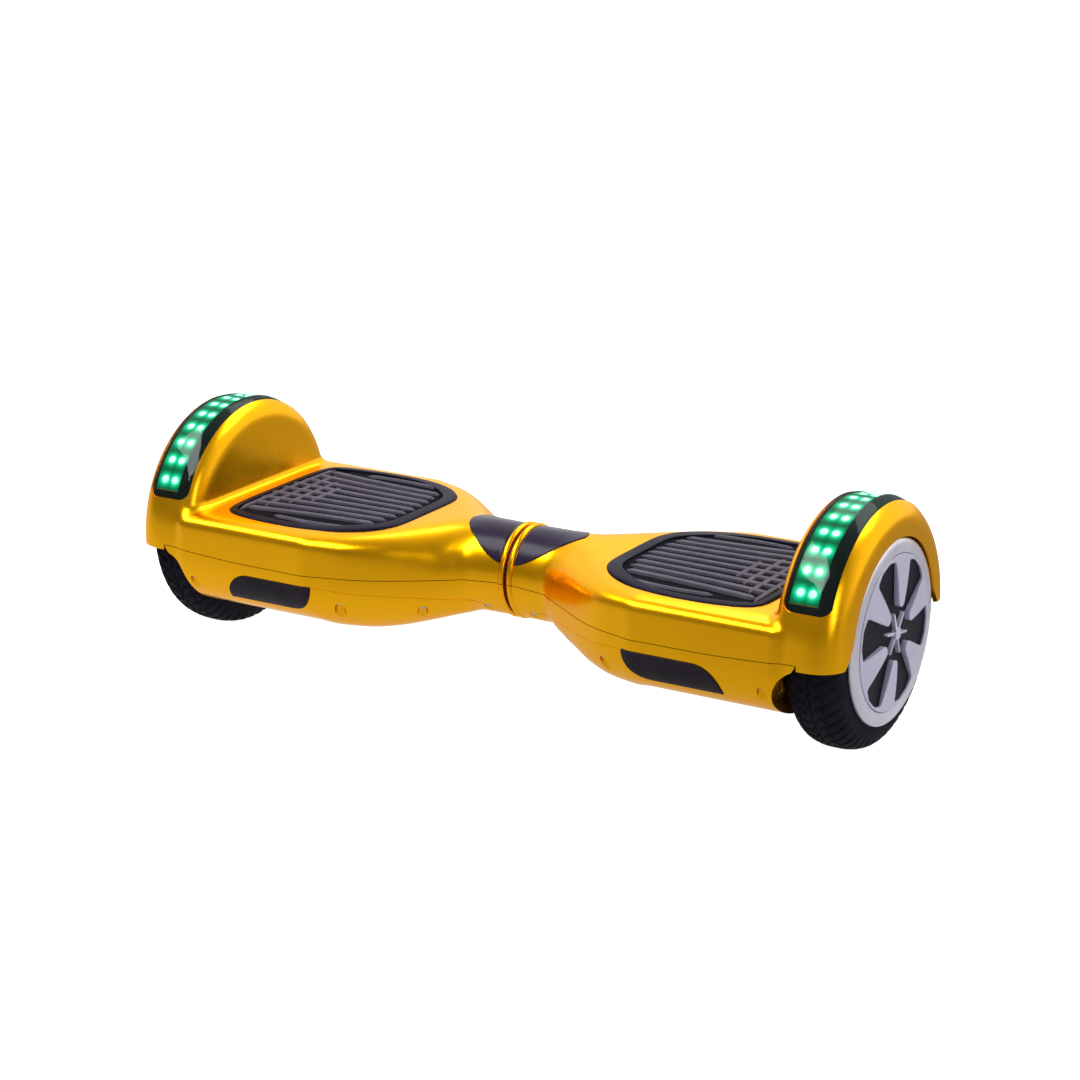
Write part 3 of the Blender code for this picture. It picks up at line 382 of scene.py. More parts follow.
def cavity(name, side):
    rings = []
    for x in (0.001, 0.02, 0.032, 0.045, 0.055, 0.065, 0.075, 0.085, 0.096, 0.107, 0.125, 0.138, 0.2375):
        blend = min(max((x - 0.06) / 0.025, 0.0), 1.0)
        top_inset = WALL + (DECK_WALL - WALL) * blend
        rings.append([(side * x, *section_point(x, 2 * math.pi * step / 40, WALL, top_inset))
                      for step in range(40)])
    return loft(name, rings)


def around_axle(side, along, radius, degrees):
    angle = math.radians(degrees)
    return side * along, -radius * math.cos(angle), AXLE_Z + radius * math.sin(angle)


def lens_patch(name, side, grow, outer, inner, columns=15):
    low, high = (math.radians(angle) * FENDER_TOP for angle in LENS_ANGLES)
    low, high = low - grow, high + grow
    corner = LENS_CORNER + grow
    turn = [corner * (1 - math.cos(math.radians(a))) for a in (5, 18, 30, 42, 54, 66, 78, 90)]
    middle = list(np.linspace(low + corner, high - corner, 50)[1:-1])
    rings = []
    for arc in [low + t for t in turn] + middle + [high - t for t in reversed(turn)]:
        from_end = min(arc - low, high - arc)
        pull = corner - math.sqrt(max(corner**2 - (corner - min(from_end, corner)) ** 2, 0.0))
        xs = np.linspace(LENS[0] - grow + pull, LENS[1] + grow - pull, columns)
        degrees = math.degrees(arc / FENDER_TOP)
        rings.append([around_axle(side, x, fender_radius(x) + outer, degrees) for x in xs]
                     + [around_axle(side, x, fender_radius(x) + inner, degrees) for x in reversed(xs)])
    return loft(name, rings, 40)


def strip_channel(name, side):
    near, far = (edge + STRIP_SHIFT[side] for edge in (STRIP[0] - CUTTER_GAP, STRIP[1] + CUTTER_GAP))
    low, high = STRIP_RADIUS - CUTTER_GAP, 0.0935
    corners = ((near, low), (far, low), (far, high), (near, high))
    return loft(name, [[around_axle(side, x, r, degrees) for x, r in corners]
                       for degrees in np.linspace(LED_ENDS[0] - 0.5, LED_ENDS[1] + 0.5, 45)])


def smooth_curve(points, rounds=3):
    """Rounds a polyline by cutting its corners, keeping its ends."""
    points = [Vector(p) for p in points]
    for _ in range(rounds):
        made = [points[0]]
        for a, b in zip(points, points[1:]):
            made += [a * 0.75 + b * 0.25, a * 0.25 + b * 0.75]
        made.append(points[-1])
        points = made
    return points


def pad_outline(side, grow):
    """Closed plan outline of the pad, moved out by grow."""
    edge = [(PAD_OUTLINE[0][0], 0.0), *PAD_OUTLINE, (PAD_OUTLINE[-1][0], 0.0)]
    edge = smooth_curve(edge)
    moved = []
    for index, point in enumerate(edge):
        before, after = edge[max(index - 1, 0)], edge[min(index + 1, len(edge) - 1)]
        along = (after - before).normalized()
        moved.append((point.x - along.y * grow, point.y + along.x * grow))
    outline = moved + [(x, -y) for x, y in reversed(moved[1:-1])]
    return [(side * x, y) for x, y in outline]


def cap_patch(name, side, grow, outer, inner, columns=25):
    length = CAP_END - CAP_START
    rings = []
    for t in np.sin(np.radians(np.linspace(0, 89.5, 30))):
        x = CAP_START - grow + (length + 2 * grow) * t
        half_angle = CAP_HALF_ANGLE * (1 - t**1.45) ** 0.77 + 0.2 + math.degrees(grow / 0.0335)
        angles = [math.radians(90 + half_angle * s) for s in np.linspace(-1, 1, columns)]
        ring = [(side * x, *section_point(x, angle, -outer)) for angle in angles]
        ring += [(side * x, *section_point(x, angle, inner)) for angle in reversed(angles)]
        rings.append(ring)
    return loft(name, rings, 40)


def side_y(x, z, inset=0.0):
    half, _, bottom, _, lower = section(x)
    depth = min(max((SEAM_Z - z) / (SEAM_Z - bottom), 0.0), 1.0)
    return half * (1 - depth**lower) ** (1 / lower) - inset


def bumper_patch(name, side, face, grow, outer, inner):
    start, end = BUMPER_X[0] - grow, BUMPER_X[1] + grow
    bottom, top = BUMPER_Z[0] - grow, BUMPER_Z[1] + grow
    height = top - bottom
    ramp = [BUMPER_ROUND * (1 - math.cos(math.radians(a))) for a in (6, 16, 26, 36, 46, 56, 66, 78, 90)]
    rings = []
    for x in [start + r for r in ramp] + [*np.linspace(0.156, 0.177, 4)] + [end - r for r in reversed(ramp)]:
        near, far = min((x - start) / BUMPER_ROUND, 1.0), min((end - x) / BUMPER_ROUND, 1.0)
        upper = bottom + height * math.sqrt(max(1 - (1 - far) ** 2, 0.0))
        lower = top - height * math.sqrt(max(1 - (1 - near) ** 2, 0.0))
        levels = [upper + (lower - upper) * t for t in np.linspace(0, 1, 7)]
        ring = [(side * x, face * side_y(x, z, -outer), z) for z in levels]
        ring += [(side * x, face * side_y(x, z, inner), z) for z in reversed(levels)]
        rings.append(ring)
    return loft(name, rings, 40)


def well_axis(x, top, radius):
    return side_y(x, top) - radius * 0.95


def screw_well(name, side, face, x, top, radius):
    """Upright hole with a domed end that breaks out of the sloping edge."""
    low, count = 0.02, 28
    profile = [(radius, low), (radius, top - radius)]
    profile += [(radius * math.cos(a), top - radius + radius * math.sin(a)) for a in np.radians((20, 40, 60, 78))]
    x, y = side * x, face * well_axis(x, top, radius)
    angles = [2 * math.pi * step / count for step in range(count)]
    rings = [[(x + r * math.cos(angle), y + r * math.sin(angle), z) for r, z in profile] for angle in angles]
    return revolved(name, rings, [(x, y, low), (x, y, top)])


def crease_cutter(name, side, face):
    """Thin blade that scores the styling line, shallower towards the waist."""
    line = smooth_curve(CREASE)
    rings = []
    for index, (x, z) in enumerate(line):
        depth = 0.00035 * min(index / 8, 1.0) + 0.00002
        y = side_y(x, z)
        rings.append([(side * x, face * (y + out), z + up) for out, up in
                      ((-depth, 0.0), (0.0006, 0.0005), (0.0006, -0.0005))])
    return loft(name, rings)


def arch_cutter(name, side):
    """Opening around the wheel face; its front and rear ends flare out, and the rear one ends higher."""
    low_edge = -4.0
    ring = []
    for degrees in range(-180, 180, 2):
        from_front = degrees if degrees > -90 else degrees + 360
        radius = ARCH_RADIUS
        for edge, length, amount in ((from_front, 17.0, 0.012), (180 - from_front, 20.0, 0.011)):
            if edge < low_edge + length:
                radius += amount * min(max(1 - (edge - low_edge) / length, 0.0), 1.0) ** 2.2
        ring.append(around_axle(side, 0.0, radius, degrees))
    return loft(name, [[(side * x, y, z) for _, y, z in ring] for x in (0.274, 0.3)])


def rear_trim(name, side):
    """Slanting cut that lifts and rounds the lower rear corner of the fender's outer flank."""
    curve = ((0.06, 0.0), (0.07, 0.0), (0.079, 0.0004), (0.084, 0.0016), (0.088, 0.004),
             (0.0905, 0.0075), (0.0925, 0.0125), (0.095, 0.02))
    ends = []
    for x, lift in ((0.264, 0.0), (0.3, 0.01)):
        top = [(side * x, y + (0.01 - lift) * 0.6, FENDER_LOW_Z - 0.0005 + lift + z) for y, z in curve]
        ends.append([(side * x, 0.06, 0.06), *top, (side * x, 0.12, 0.1 + lift),
                     (side * x, 0.12, 0.06)])
    return loft(name, ends)


def fender_cutters(side):
    """Room for the wheel, and the opening for the axle in the fender's inner wall."""
    return [turned("well", side, fender_profile(WELL_HALF, WELL_TOP, 20), 120, closed=False),
            rod("notch", (side * 0.23, 0, AXLE_Z), (side * 0.245, 0, AXLE_Z), 0.0085)]


def shells(side, tag):
    bead_profile = [(0.0055, 0.031)] + [
        (0.0034 + 0.0021 * math.cos(a), 0.0334 + 0.0018 * math.sin(a)) for a in np.radians(np.linspace(0, 180, 13))
    ] + [(0.0013, 0.031)]
    below = slab("below", side, [(-0.01, 0.0), (-0.01, SEAM_LINE[0, 1]), *seam_points(SEAM_HALF_GAP),
                                 (LIP_X + SEAM_HALF_GAP, SEAM_LINE[-1, 1] + SEAM_HALF_GAP),
                                 (LIP_X + SEAM_HALF_GAP, FENDER_LOW_Z), (0.3, FENDER_LOW_Z), (0.3, 0.0)])
    lower_part = slab("lower_part", side, [(0.0, 0.0285), *seam_points(-SEAM_HALF_GAP)[:-1],
                                           (LIP_X - SEAM_HALF_GAP, SEAM_LINE[-1, 1] - SEAM_HALF_GAP),
                                           *reversed(LIP_LINE[1:-1]), (LIP_LINE[0][0], 0.0285)])

    upper = body_solid(f"{tag}_upper_shell_skin", side)
    combine(upper, "UNION", [turned("bead", side, bead_profile, 96, z=TWIST_Z)])
    tools = [cavity("cavity", side), *fender_cutters(side), arch_cutter("arch", side), rear_trim("rear", side),
             below,
             prism("recess", pad_outline(side, 0.0005), 0.1065, 0.13),
             lens_patch("lens", side, CUTTER_GAP, 0.004, -LENS_THICKNESS - 0.0002),
             strip_channel("strip", side), cap_patch("cap", side, CUTTER_GAP, 0.004, 0.0015)]
    tools += [rod("plunger", (side * PLUNGER_X, y, 0.095), (side * PLUNGER_X, y, 0.109), 0.0048)
              for y in PLUNGER_Y]
    resmooth(combine(upper, "DIFFERENCE", tools), 32)

    lower = body_solid(f"{tag}_lower_shell_skin", side)
    combine(lower, "INTERSECT", [lower_part])
    outside = add_object("outside", lower.data.copy())
    spots = [(x, face * well_axis(x, top, radius), top, radius)
             for x, top, radius in SCREW_WELLS for face in (-1, 1)]
    bosses = merge("bosses", [rod("boss", (side * x, y, 0.025), (side * x, y, top + 0.0012), radius + 0.0012)
                              for x, y, top, radius in spots])
    combine(bosses, "INTERSECT", [outside])
    combine(lower, "DIFFERENCE", [cavity("cavity", side), *fender_cutters(side)])
    combine(lower, "UNION", [bosses, turned("bead", side, bead_profile, 96, z=TWIST_Z)])
    tools = [slab("above", side, [(-0.01, 0.15), (-0.01, SEAM_LINE[0, 1]), *seam_points(-SEAM_HALF_GAP),
                                  (0.3, 0.085), (0.3, 0.15)])]
    for face in (-1, 1):
        tools.append(bumper_patch("bumper", side, face, CUTTER_GAP, 0.006, 0.0015))
        tools.append(crease_cutter("crease", side, face))
        tools += [screw_well("well", side, face, *spot) for spot in SCREW_WELLS]
    if side > 0:
        tools.append(rod("button", (*BUTTON, 0.02), (*BUTTON, 0.04), 0.0074))
        tools.append(rod("port", (*PORT, 0.02), (*PORT, 0.04), 0.0068))
    resmooth(combine(lower, "DIFFERENCE", tools), 32)
    for obj, node in ((upper, f"{tag}_upper_shell"), (lower, f"{tag}_lower_shell")):
        dress(obj, f"{tag}_half", "gold_shell", GOLD, node)


# ---- materials
def new_material(name):
    made = bpy.data.materials.new(name)
    made.use_nodes = True
    tree = made.node_tree
    return made, tree, tree.nodes["Principled BSDF"]


def add_node(tree, kind, *sources, **values):
    """Adds a node. Sources are linked to its inputs in order, values go to its sockets or settings."""
    made = tree.nodes.new(kind)
    for key, value in values.items():
        if key in made.inputs:
            made.inputs[key].default_value = value
        else:
            setattr(made, key, value)
    for socket, source in zip(made.inputs, sources):
        tree.links.new(source, socket)
    return made


def calculate(tree, operation, *terms):
    """Math node on sockets and plain numbers."""
    made = add_node(tree, "ShaderNodeMath", operation=operation)
    for socket, term in zip(made.inputs, terms):
        if isinstance(term, float):
            socket.default_value = term
        else:
            tree.links.new(term, socket)
    return made.outputs["Value"]


def mix_shaders(tree, factor, first, second):
    """Mixes two shaders into the material or world output."""
    mixed = add_node(tree, "ShaderNodeMixShader", factor, first.outputs[0], second.outputs[0])
    out = next(node for node in tree.nodes if "Surface" in node.inputs)
    tree.links.new(mixed.outputs["Shader"], out.inputs["Surface"])


def set_inputs(shader, **values):
    for key, value in values.items():
        shader.inputs[key.replace("_", " ")].default_value = value


def object_coordinates(tree):
    return add_node(tree, "ShaderNodeTexCoord").outputs["Object"]


def noise(tree, scale, detail=3.0, roughness=0.5):
    made = add_node(tree, "ShaderNodeTexNoise", object_coordinates(tree), Scale=scale, Detail=detail,
                    Roughness=roughness)
    return made.outputs["Fac"]


def ramp(tree, factor, *stops):
    made = add_node(tree, "ShaderNodeValToRGB", factor)
    for index, (place, colour) in enumerate(stops):
        element = made.color_ramp.elements[index] if index < 2 else made.color_ramp.elements.new(place)
        element.position = place
        element.color = (*colour, 1.0)
    return made.outputs["Color"]


def spread(tree, factor, low, high, start=0.3, end=0.7):
    """Maps a value from start..end to low..high."""
    made = add_node(tree, "ShaderNodeMapRange", factor)
    set_inputs(made, From_Min=start, From_Max=end, To_Min=low, To_Max=high)
    return made.outputs["Result"]


def surface(name, dark, light, metallic, roughness, grain=60.0, bump=0.05, bump_scale=900.0, coat=0.0,
            specular=0.5):
    """Two-tone material with cloudy colour, uneven gloss, fine grain and rounded edges."""
    made, tree, shader = new_material(name)
    cloud = noise(tree, grain)
    tree.links.new(ramp(tree, cloud, (0.3, dark), (0.7, light)), shader.inputs["Base Color"])
    tree.links.new(spread(tree, noise(tree, grain * 0.4), *roughness), shader.inputs["Roughness"])
    set_inputs(shader, Metallic=metallic, Coat_Weight=coat, Coat_Roughness=0.05, Specular_IOR_Level=specular)
    relief = add_node(tree, "ShaderNodeBump", Strength=bump, Distance=0.0004)
    rounded_edges = add_node(tree, "ShaderNodeBevel", Radius=0.0003, samples=4)
    tree.links.new(noise(tree, bump_scale, 4.0, 0.6), relief.inputs["Height"])
    tree.links.new(rounded_edges.outputs["Normal"], relief.inputs["Normal"])
    tree.links.new(relief.outputs["Normal"], shader.inputs["Normal"])
    return made


def gold_paint():
    """Candy gold: saturated metal under a thin clear coat, with faintly uneven colour and gloss."""
    made, tree, shader = new_material("gold_paint")
    tint = ramp(tree, noise(tree, 11.0), (0.3, (0.92, 0.43, 0.0006)), (0.7, (0.95, 0.465, 0.001)))
    tree.links.new(tint, shader.inputs["Base Color"])
    tree.links.new(spread(tree, noise(tree, 25.0), 0.25, 0.3), shader.inputs["Roughness"])
    set_inputs(shader, Metallic=1.0, Specular_Tint=(1.0, 0.72, 0.25, 1.0), Coat_Weight=0.4, Coat_Roughness=0.12,
               Coat_IOR=1.26)
    return made


def smoked_lens():
    """Clear cover: see-through with a sharp reflection that grows at grazing angles."""
    made, tree, shader = new_material("smoked_lens")
    tree.nodes.remove(shader)
    clear = add_node(tree, "ShaderNodeBsdfTransparent", Color=(0.88, 0.94, 0.91, 1.0))
    gloss = add_node(tree, "ShaderNodeBsdfGlossy", Color=(0.85, 0.9, 0.88, 1.0))
    tree.links.new(spread(tree, noise(tree, 40.0), 0.03, 0.06), gloss.inputs["Roughness"])
    grazing = add_node(tree, "ShaderNodeLayerWeight", Blend=0.5)
    steep = calculate(tree, "POWER", grazing.outputs["Facing"], 4.5)
    mix_shaders(tree, spread(tree, steep, 0.012, 0.05, 0.0, 1.0), clear, gloss)
    return made


def lit_strip():
    """Green light board: the glow falls off from each lamp, on the strip's own coordinates."""
    made, tree, shader = new_material("lit_strip")
    split = add_node(tree, "ShaderNodeSeparateXYZ", add_node(tree, "ShaderNodeTexCoord").outputs["UV"])
    pitch_mm, fall = 16.4, -0.032
    along = calculate(tree, "SUBTRACT", calculate(tree, "FRACT", split.outputs["X"]), 0.5)
    along_squared = calculate(tree, "POWER", calculate(tree, "MULTIPLY", along, pitch_mm), 2.0)
    glows = []
    for row in LED_ROWS:
        across = calculate(tree, "SUBTRACT", split.outputs["Y"], (row - STRIP[0]) * 1000)
        total = calculate(tree, "ADD", along_squared, calculate(tree, "POWER", across, 2.0))
        glows.append(calculate(tree, "EXPONENT", calculate(tree, "MULTIPLY", total, fall)))
    colour = ramp(tree, calculate(tree, "MAXIMUM", *glows), (0.0, (0.0, 0.045, 0.02)), (0.22, (0.0, 0.16, 0.065)),
                  (0.5, (0.0, 0.46, 0.19)), (0.72, (0.04, 0.78, 0.42)), (0.9, (0.45, 1.0, 0.75)))
    tree.links.new(colour, shader.inputs["Emission Color"])
    tree.links.new(spread(tree, noise(tree, 300.0), 0.35, 0.55), shader.inputs["Roughness"])
    set_inputs(shader, Emission_Strength=1.35, Specular_IOR_Level=0.03, Base_Color=(0.0, 0.02, 0.01, 1.0))
    return made


def lamp_core():
    made, tree, shader = new_material("lamp_core")
    tree.links.new(ramp(tree, noise(tree, 400.0), (0.2, (0.25, 1.0, 0.62)), (0.8, (0.6, 1.0, 0.82))),
                   shader.inputs["Emission Color"])
    set_inputs(shader, Emission_Strength=1.6, Base_Color=(0.3, 0.9, 0.6, 1.0))
    return made


GOLD = gold_paint()
RIB = surface("pad_ribs", (0.05, 0.045, 0.064), (0.072, 0.065, 0.088), 0.0, (0.5, 0.65), 80, 0.2, 2600,
              specular=0.12)
# near-black base plate, seen between the ribs: the pad's own dark rubber, made much darker as painted shade in the
# grooves
PAD_BASE_WITH_PAINTED_SHADE = surface("pad_base", (0.002, 0.0018, 0.003), (0.004, 0.0036, 0.006), 0.0, (0.8, 0.95), 80, 0.2, 2600,
                   specular=0.05)
PAD_EDGE = surface("pad_border", (0.005, 0.004, 0.01), (0.009, 0.008, 0.018), 0.0, (0.36, 0.48), 60, 0.15, 2600,
                   specular=0.04)
TRIM = surface("gloss_trim", (0.014, 0.009, 0.022), (0.022, 0.015, 0.032), 0.0, (0.22, 0.3), 30, 0.02, 700,
               specular=0.13)
MASK = surface("lens_mask", (0.001, 0.004, 0.004), (0.003, 0.008, 0.007), 0.0, (0.5, 0.6), 60, 0.05, 1500,
               specular=0.05)
BUMPER = surface("bumper_trim", (0.013, 0.01, 0.015), (0.021, 0.016, 0.023), 0.0, (0.4, 0.55), 50, 0.12, 1800,
                 specular=0.08)
TYRE = surface("tyre_rubber", (0.0045, 0.004, 0.008), (0.01, 0.009, 0.016), 0.0, (0.6, 0.78), 70, 0.3, 1500,
               specular=0.07)
SILVER = surface("wheel_silver", (0.52, 0.49, 0.65), (0.6, 0.57, 0.73), 0.35, (0.3, 0.38), 20, 0.04, 2200,
                 coat=0.1)
POLISHED = surface("rim_polished", (0.6, 0.58, 0.68), (0.8, 0.78, 0.88), 0.75, (0.22, 0.32), 30, 0.04, 1500)
INSERT = surface("wheel_insert", (0.007, 0.006, 0.012), (0.013, 0.011, 0.02), 0.0, (0.38, 0.46), 40, 0.06, 1800,
                 specular=0.08)
ALUMINIUM = surface("cast_aluminium", (0.48, 0.49, 0.51), (0.64, 0.65, 0.66), 0.9, (0.38, 0.55), 120, 0.3, 900)
STEEL = surface("steel", (0.42, 0.43, 0.45), (0.58, 0.59, 0.61), 1.0, (0.22, 0.34), 150, 0.08, 1200)
BOARD = surface("circuit_board", (0.012, 0.12, 0.06), (0.03, 0.22, 0.11), 0.0, (0.35, 0.5), 260, 0.2, 900)
WRAP = surface("battery_wrap", (0.03, 0.09, 0.34), (0.05, 0.15, 0.46), 0.0, (0.28, 0.4), 90, 0.2, 400)
COPPER = surface("winding_copper", (0.5, 0.2, 0.07), (0.7, 0.32, 0.14), 0.9, (0.3, 0.45), 300, 0.4, 1400)
BRONZE = surface("bronze", (0.45, 0.28, 0.11), (0.6, 0.4, 0.18), 0.9, (0.32, 0.45), 150, 0.15, 900)
CABLE = surface("cable_black", (0.02, 0.02, 0.02), (0.04, 0.04, 0.04), 0.0, (0.4, 0.55), 150, 0.15, 900)
PLASTIC = surface("black_plastic", (0.022, 0.022, 0.026), (0.036, 0.036, 0.04), 0.0, (0.38, 0.5), 80, 0.2, 2000)
RED_RING = surface("waist_ring", (0.06, 0.018, 0.008), (0.11, 0.035, 0.014), 0.2, (0.35, 0.5), 60, 0.1, 1500)
LENS_CLEAR = smoked_lens()
STRIP_LIGHT = lit_strip()
LAMP = lamp_core()


def dress(obj, body, slot, material, *nodes):
    """Gives a piece its look and the body it rides on, and hides the CAD nodes that it stands for."""
    obj.data.materials.clear()
    obj.data.materials.append(material)
    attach(obj, body)
    if nodes:
        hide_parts(*nodes)


# ---- trim on each half
def crown(points):
    """Bends the foot pad down towards its front and rear edges, as the deck does."""
    for point in points:
        point.co.z -= 0.002 * min(abs(point.co.y) / 0.08, 1.0) ** 4


def rib_y(k, x):
    t = (x - 0.092) / 0.133
    return k * (0.0108 + 0.0034 * t - 0.0006 * math.sin(math.pi * t))


def rib(name, side, path, width, high, taper=0.004):
    """Raised bar along a plan path, with a rounded top and rounded ends."""
    low = PAD_FLOOR
    rings = []
    path = [Vector(p) for p in path]
    total = sum((b - a).length for a, b in zip(path, path[1:]))
    run = 0.0
    for index, point in enumerate(path):
        before, after = path[max(index - 1, 0)], path[min(index + 1, len(path) - 1)]
        along = (after - before).normalized()
        across = Vector((-along.y, along.x))
        if index:
            run += (point - path[index - 1]).length
        near = min(run, total - run) / taper
        scale = math.sqrt(max(1 - (1 - min(near, 1.0)) ** 2, 0.0)) * 0.85 + 0.15
        half = width / 2 * scale
        crest = low + (high - low) * (0.5 + 0.5 * min(near * 1.5, 1.0))
        shape = ((-1.0, low - 0.0006), (-0.96, low), (-0.8, crest - 0.0003), (-0.45, crest), (0.45, crest),
                 (0.8, crest - 0.0003), (0.96, low), (1.0, low - 0.0006))
        rings.append([(side * (point.x + across.x * s * half), point.y + across.y * s * half, z)
                      for s, z in shape])
    return loft(name, rings, 50)


def pad_border(name, side):
    """Flat rim around the ribs, wider towards the waist."""
    rings = [[(x, y, z) for x, y in pad_outline(side, offset)]
             for offset, z in ((0.0, 0.1086), (0.0, 0.1108), (-0.0005, 0.1116), (-0.0016, 0.112))]
    outer = [Vector(p) for p in pad_outline(side, 0.0)]
    middle = Vector((side * 0.16, 0))
    edges = []
    for index, point in enumerate(outer):
        reach_x = abs(point.x)
        width = 0.0072 + 0.0034 * math.exp(-((reach_x - 0.1) / 0.03) ** 2) if reach_x < 0.215 else 0.0052
        along = (outer[(index + 1) % len(outer)] - outer[index - 1]).normalized()
        inward = Vector((-along.y, along.x))
        if inward.dot(middle - point) < 0:
            inward = -inward
        edges.append((point + inward * width, point + inward * (width + 0.0005)))
    for which, z in ((0, 0.1119), (1, 0.1103), (1, 0.109)):
        rings.append([(*pair[which], z) for pair in edges])
    return loft(name, rings, 50, closed=True)


def foot_pad(side, tag):
    body = f"{tag}_pad"
    base = prism("base", pad_outline(side, -0.0002), 0.1085, 0.1104)
    posts = [rod("post", (side * PLUNGER_X, y, 0.097), (side * PLUNGER_X, y, 0.1095), 0.004) for y in PLUNGER_Y]
    base = merge(f"{tag}_footpad_base", [base, *posts])
    rim = pad_border(f"{tag}_footpad_border", side)
    bars = []
    for k in range(-4, 5):
        xs = np.linspace(0.0985 + 0.00045 * k * k, 0.2205 - 0.0006 * k * k, 26)
        bars.append(rib("rib", side, [(x, rib_y(k, x)) for x in xs], 0.006, 0.1121))
    for face in (-1, 1):
        curve = [(x, face * (0.0568 + 0.0065 * math.sin(math.pi * (x - 0.1) / 0.11)))
                 for x in np.linspace(0.116, 0.182, 16)]
        bars.append(rib("rib", side, curve, 0.0038, 0.1118))
    for x, reach in ((0.213, 4.5), (0.2015, 3.5), (0.19, 2.5), (0.1785, 1.5)):
        cross = [(x, rib_y(reach * t, x)) for t in np.linspace(-1, 1, 18)]
        bars.append(rib("cross", side, cross, 0.0046, 0.112, 0.002))
    ribs = merge(f"{tag}_footpad_ribs", bars)
    for obj in (base, rim, ribs):
        crown([v for v in obj.data.vertices if v.co.z > 0.1095])
    # the base plate fills the grooves between the ribs and carries their painted shade
    dress(base, body, "pad_rubber", PAD_BASE_WITH_PAINTED_SHADE, f"{tag}_footpad")
    dress(rim, body, "pad_rubber", PAD_EDGE)
    dress(ribs, body, "pad_rubber", RIB)


def light_board(name, side):
    """Thin curved board. Its UV counts lamps along the arc and millimetres across it, for the glow."""
    shift = STRIP_SHIFT[side]
    xs = list(np.linspace(*STRIP, 12))
    around = [(x, BOARD_FACE) for x in xs] + [(x, STRIP_RADIUS) for x in reversed(xs)]
    degrees = np.linspace(*LED_ENDS, 105)
    board = loft(name, [[around_axle(side, x + shift, r, a) for x, r in around] for a in degrees])
    uv = board.data.uv_layers.new(name="board")
    for loop in board.data.loops:
        row, column = divmod(loop.vertex_index, len(around))
        uv.data[loop.index].uv = (degrees[row] - LED_ENDS[0]) / LED_PITCH, (around[column][0] - STRIP[0]) * 1000
    return board


def lights(side, tag):
    body = f"{tag}_half"
    lens = lens_patch(f"{tag}_lens_cover", side, 0.0, 0.0001, -0.0009, 21)
    dress(lens, body, "smoked_lens", LENS_CLEAR, f"{tag}_light_lens")
    mask = lens_patch(f"{tag}_lens_mask", side, -0.0002, -0.0011, -LENS_THICKNESS, 21)
    combine(mask, "DIFFERENCE", [strip_channel("window", side)])
    dress(resmooth(mask, 40), body, "dark_trim", MASK)
    dress(light_board(f"{tag}_light_board", side), body, "light_strip", STRIP_LIGHT, f"{tag}_light_strip")
    lamps = []
    for along in LED_ROWS:
        for angle in np.arange(LED_ENDS[0] + LED_PITCH / 2, LED_ENDS[1], LED_PITCH):
            build = bmesh.new()
            bmesh.ops.create_uvsphere(build, u_segments=20, v_segments=10, radius=0.0027)
            place = (Matrix.Translation((side * (along + STRIP_SHIFT[side]), 0, AXLE_Z))
                     @ Matrix.Rotation(math.radians(90 - angle), 4, "X")
                     @ Matrix.Translation((0, 0, BOARD_FACE)) @ Matrix.Diagonal((1, 1, 0.3, 1)))
            bmesh.ops.transform(build, matrix=place, verts=build.verts)
            lamps.append(to_object("lamp", build))
    dress(merge(f"{tag}_lamps", lamps), body, "light_strip", LAMP)


def trim(side, tag):
    body = f"{tag}_half"
    cap = cap_patch(f"{tag}_neck_cap_skin", side, 0.0, 0.0007, 0.0012)
    dress(soften(cap, 0.0003), body, "dark_trim", TRIM, f"{tag}_neck_cap")
    for place, face in (("front", -1), ("rear", 1)):
        bumper = bumper_patch(f"{tag}_bumper_{place}_skin", side, face, 0.0, 0.001, 0.0012)
        dress(soften(bumper, 0.0004), body, "dark_trim", BUMPER, f"{tag}_bumper_{place}")
    screws = []
    for x, top, radius in SCREW_WELLS:
        y = well_axis(x, top, radius)
        for face in (-1, 1):
            seat = top - 0.0026
            head = rod("head", (side * x, face * y, seat), (side * x, face * y, seat + 0.0016), radius * 0.62, 24)
            hex_hole = rod("hex", (side * x, face * y, seat - 0.001), (side * x, face * y, seat + 0.0009),
                           radius * 0.34, 6)
            screws.append(resmooth(combine(head, "DIFFERENCE", [hex_hole])))
    dress(merge(f"{tag}_screws", screws), body, "steel", STEEL)


# ---- wheels
def rounded(points, radii, steps=5):
    """Closed outline with its corners replaced by arcs."""
    count = len(points)
    made = []
    for index in range(count):
        here = Vector(points[index])
        before, after = Vector(points[index - 1]) - here, Vector(points[(index + 1) % count]) - here
        radius = radii[index]
        if radius <= 0:
            made.append(tuple(here))
            continue
        angle = before.angle(after)
        pull = min(radius / math.tan(angle / 2), before.length * 0.48, after.length * 0.48)
        a, b = here + before.normalized() * pull, here + after.normalized() * pull
        for step in range(steps + 1):
            t = step / steps
            made.append(tuple(a * (1 - t) ** 2 + here * 2 * t * (1 - t) + b * t * t))
    return made


def rotated(points, angle):
    cosine, sine = math.cos(angle), math.sin(angle)
    return [(a * cosine - b * sine, a * sine + b * cosine) for a, b in points]


def petal_opening(name, side):
    """Six wedge openings that meet in a round middle, with rounded fingers between them."""
    corners = ((0.0178, -0.0064), (0.049, -0.015), (0.053, -0.006), (0.053, 0.006), (0.049, 0.015),
               (0.0178, 0.0064))
    outline = [point for turn in PETAL_TURNS for point in rotated(corners, turn)]
    shape = rounded(outline, (0.0046, 0.0034, 0.01, 0.01, 0.0034, 0.0046) * len(PETAL_TURNS))
    return loft(name, [[(side * x, y, AXLE_Z + z) for y, z in shape] for x in (0.286, 0.296)])


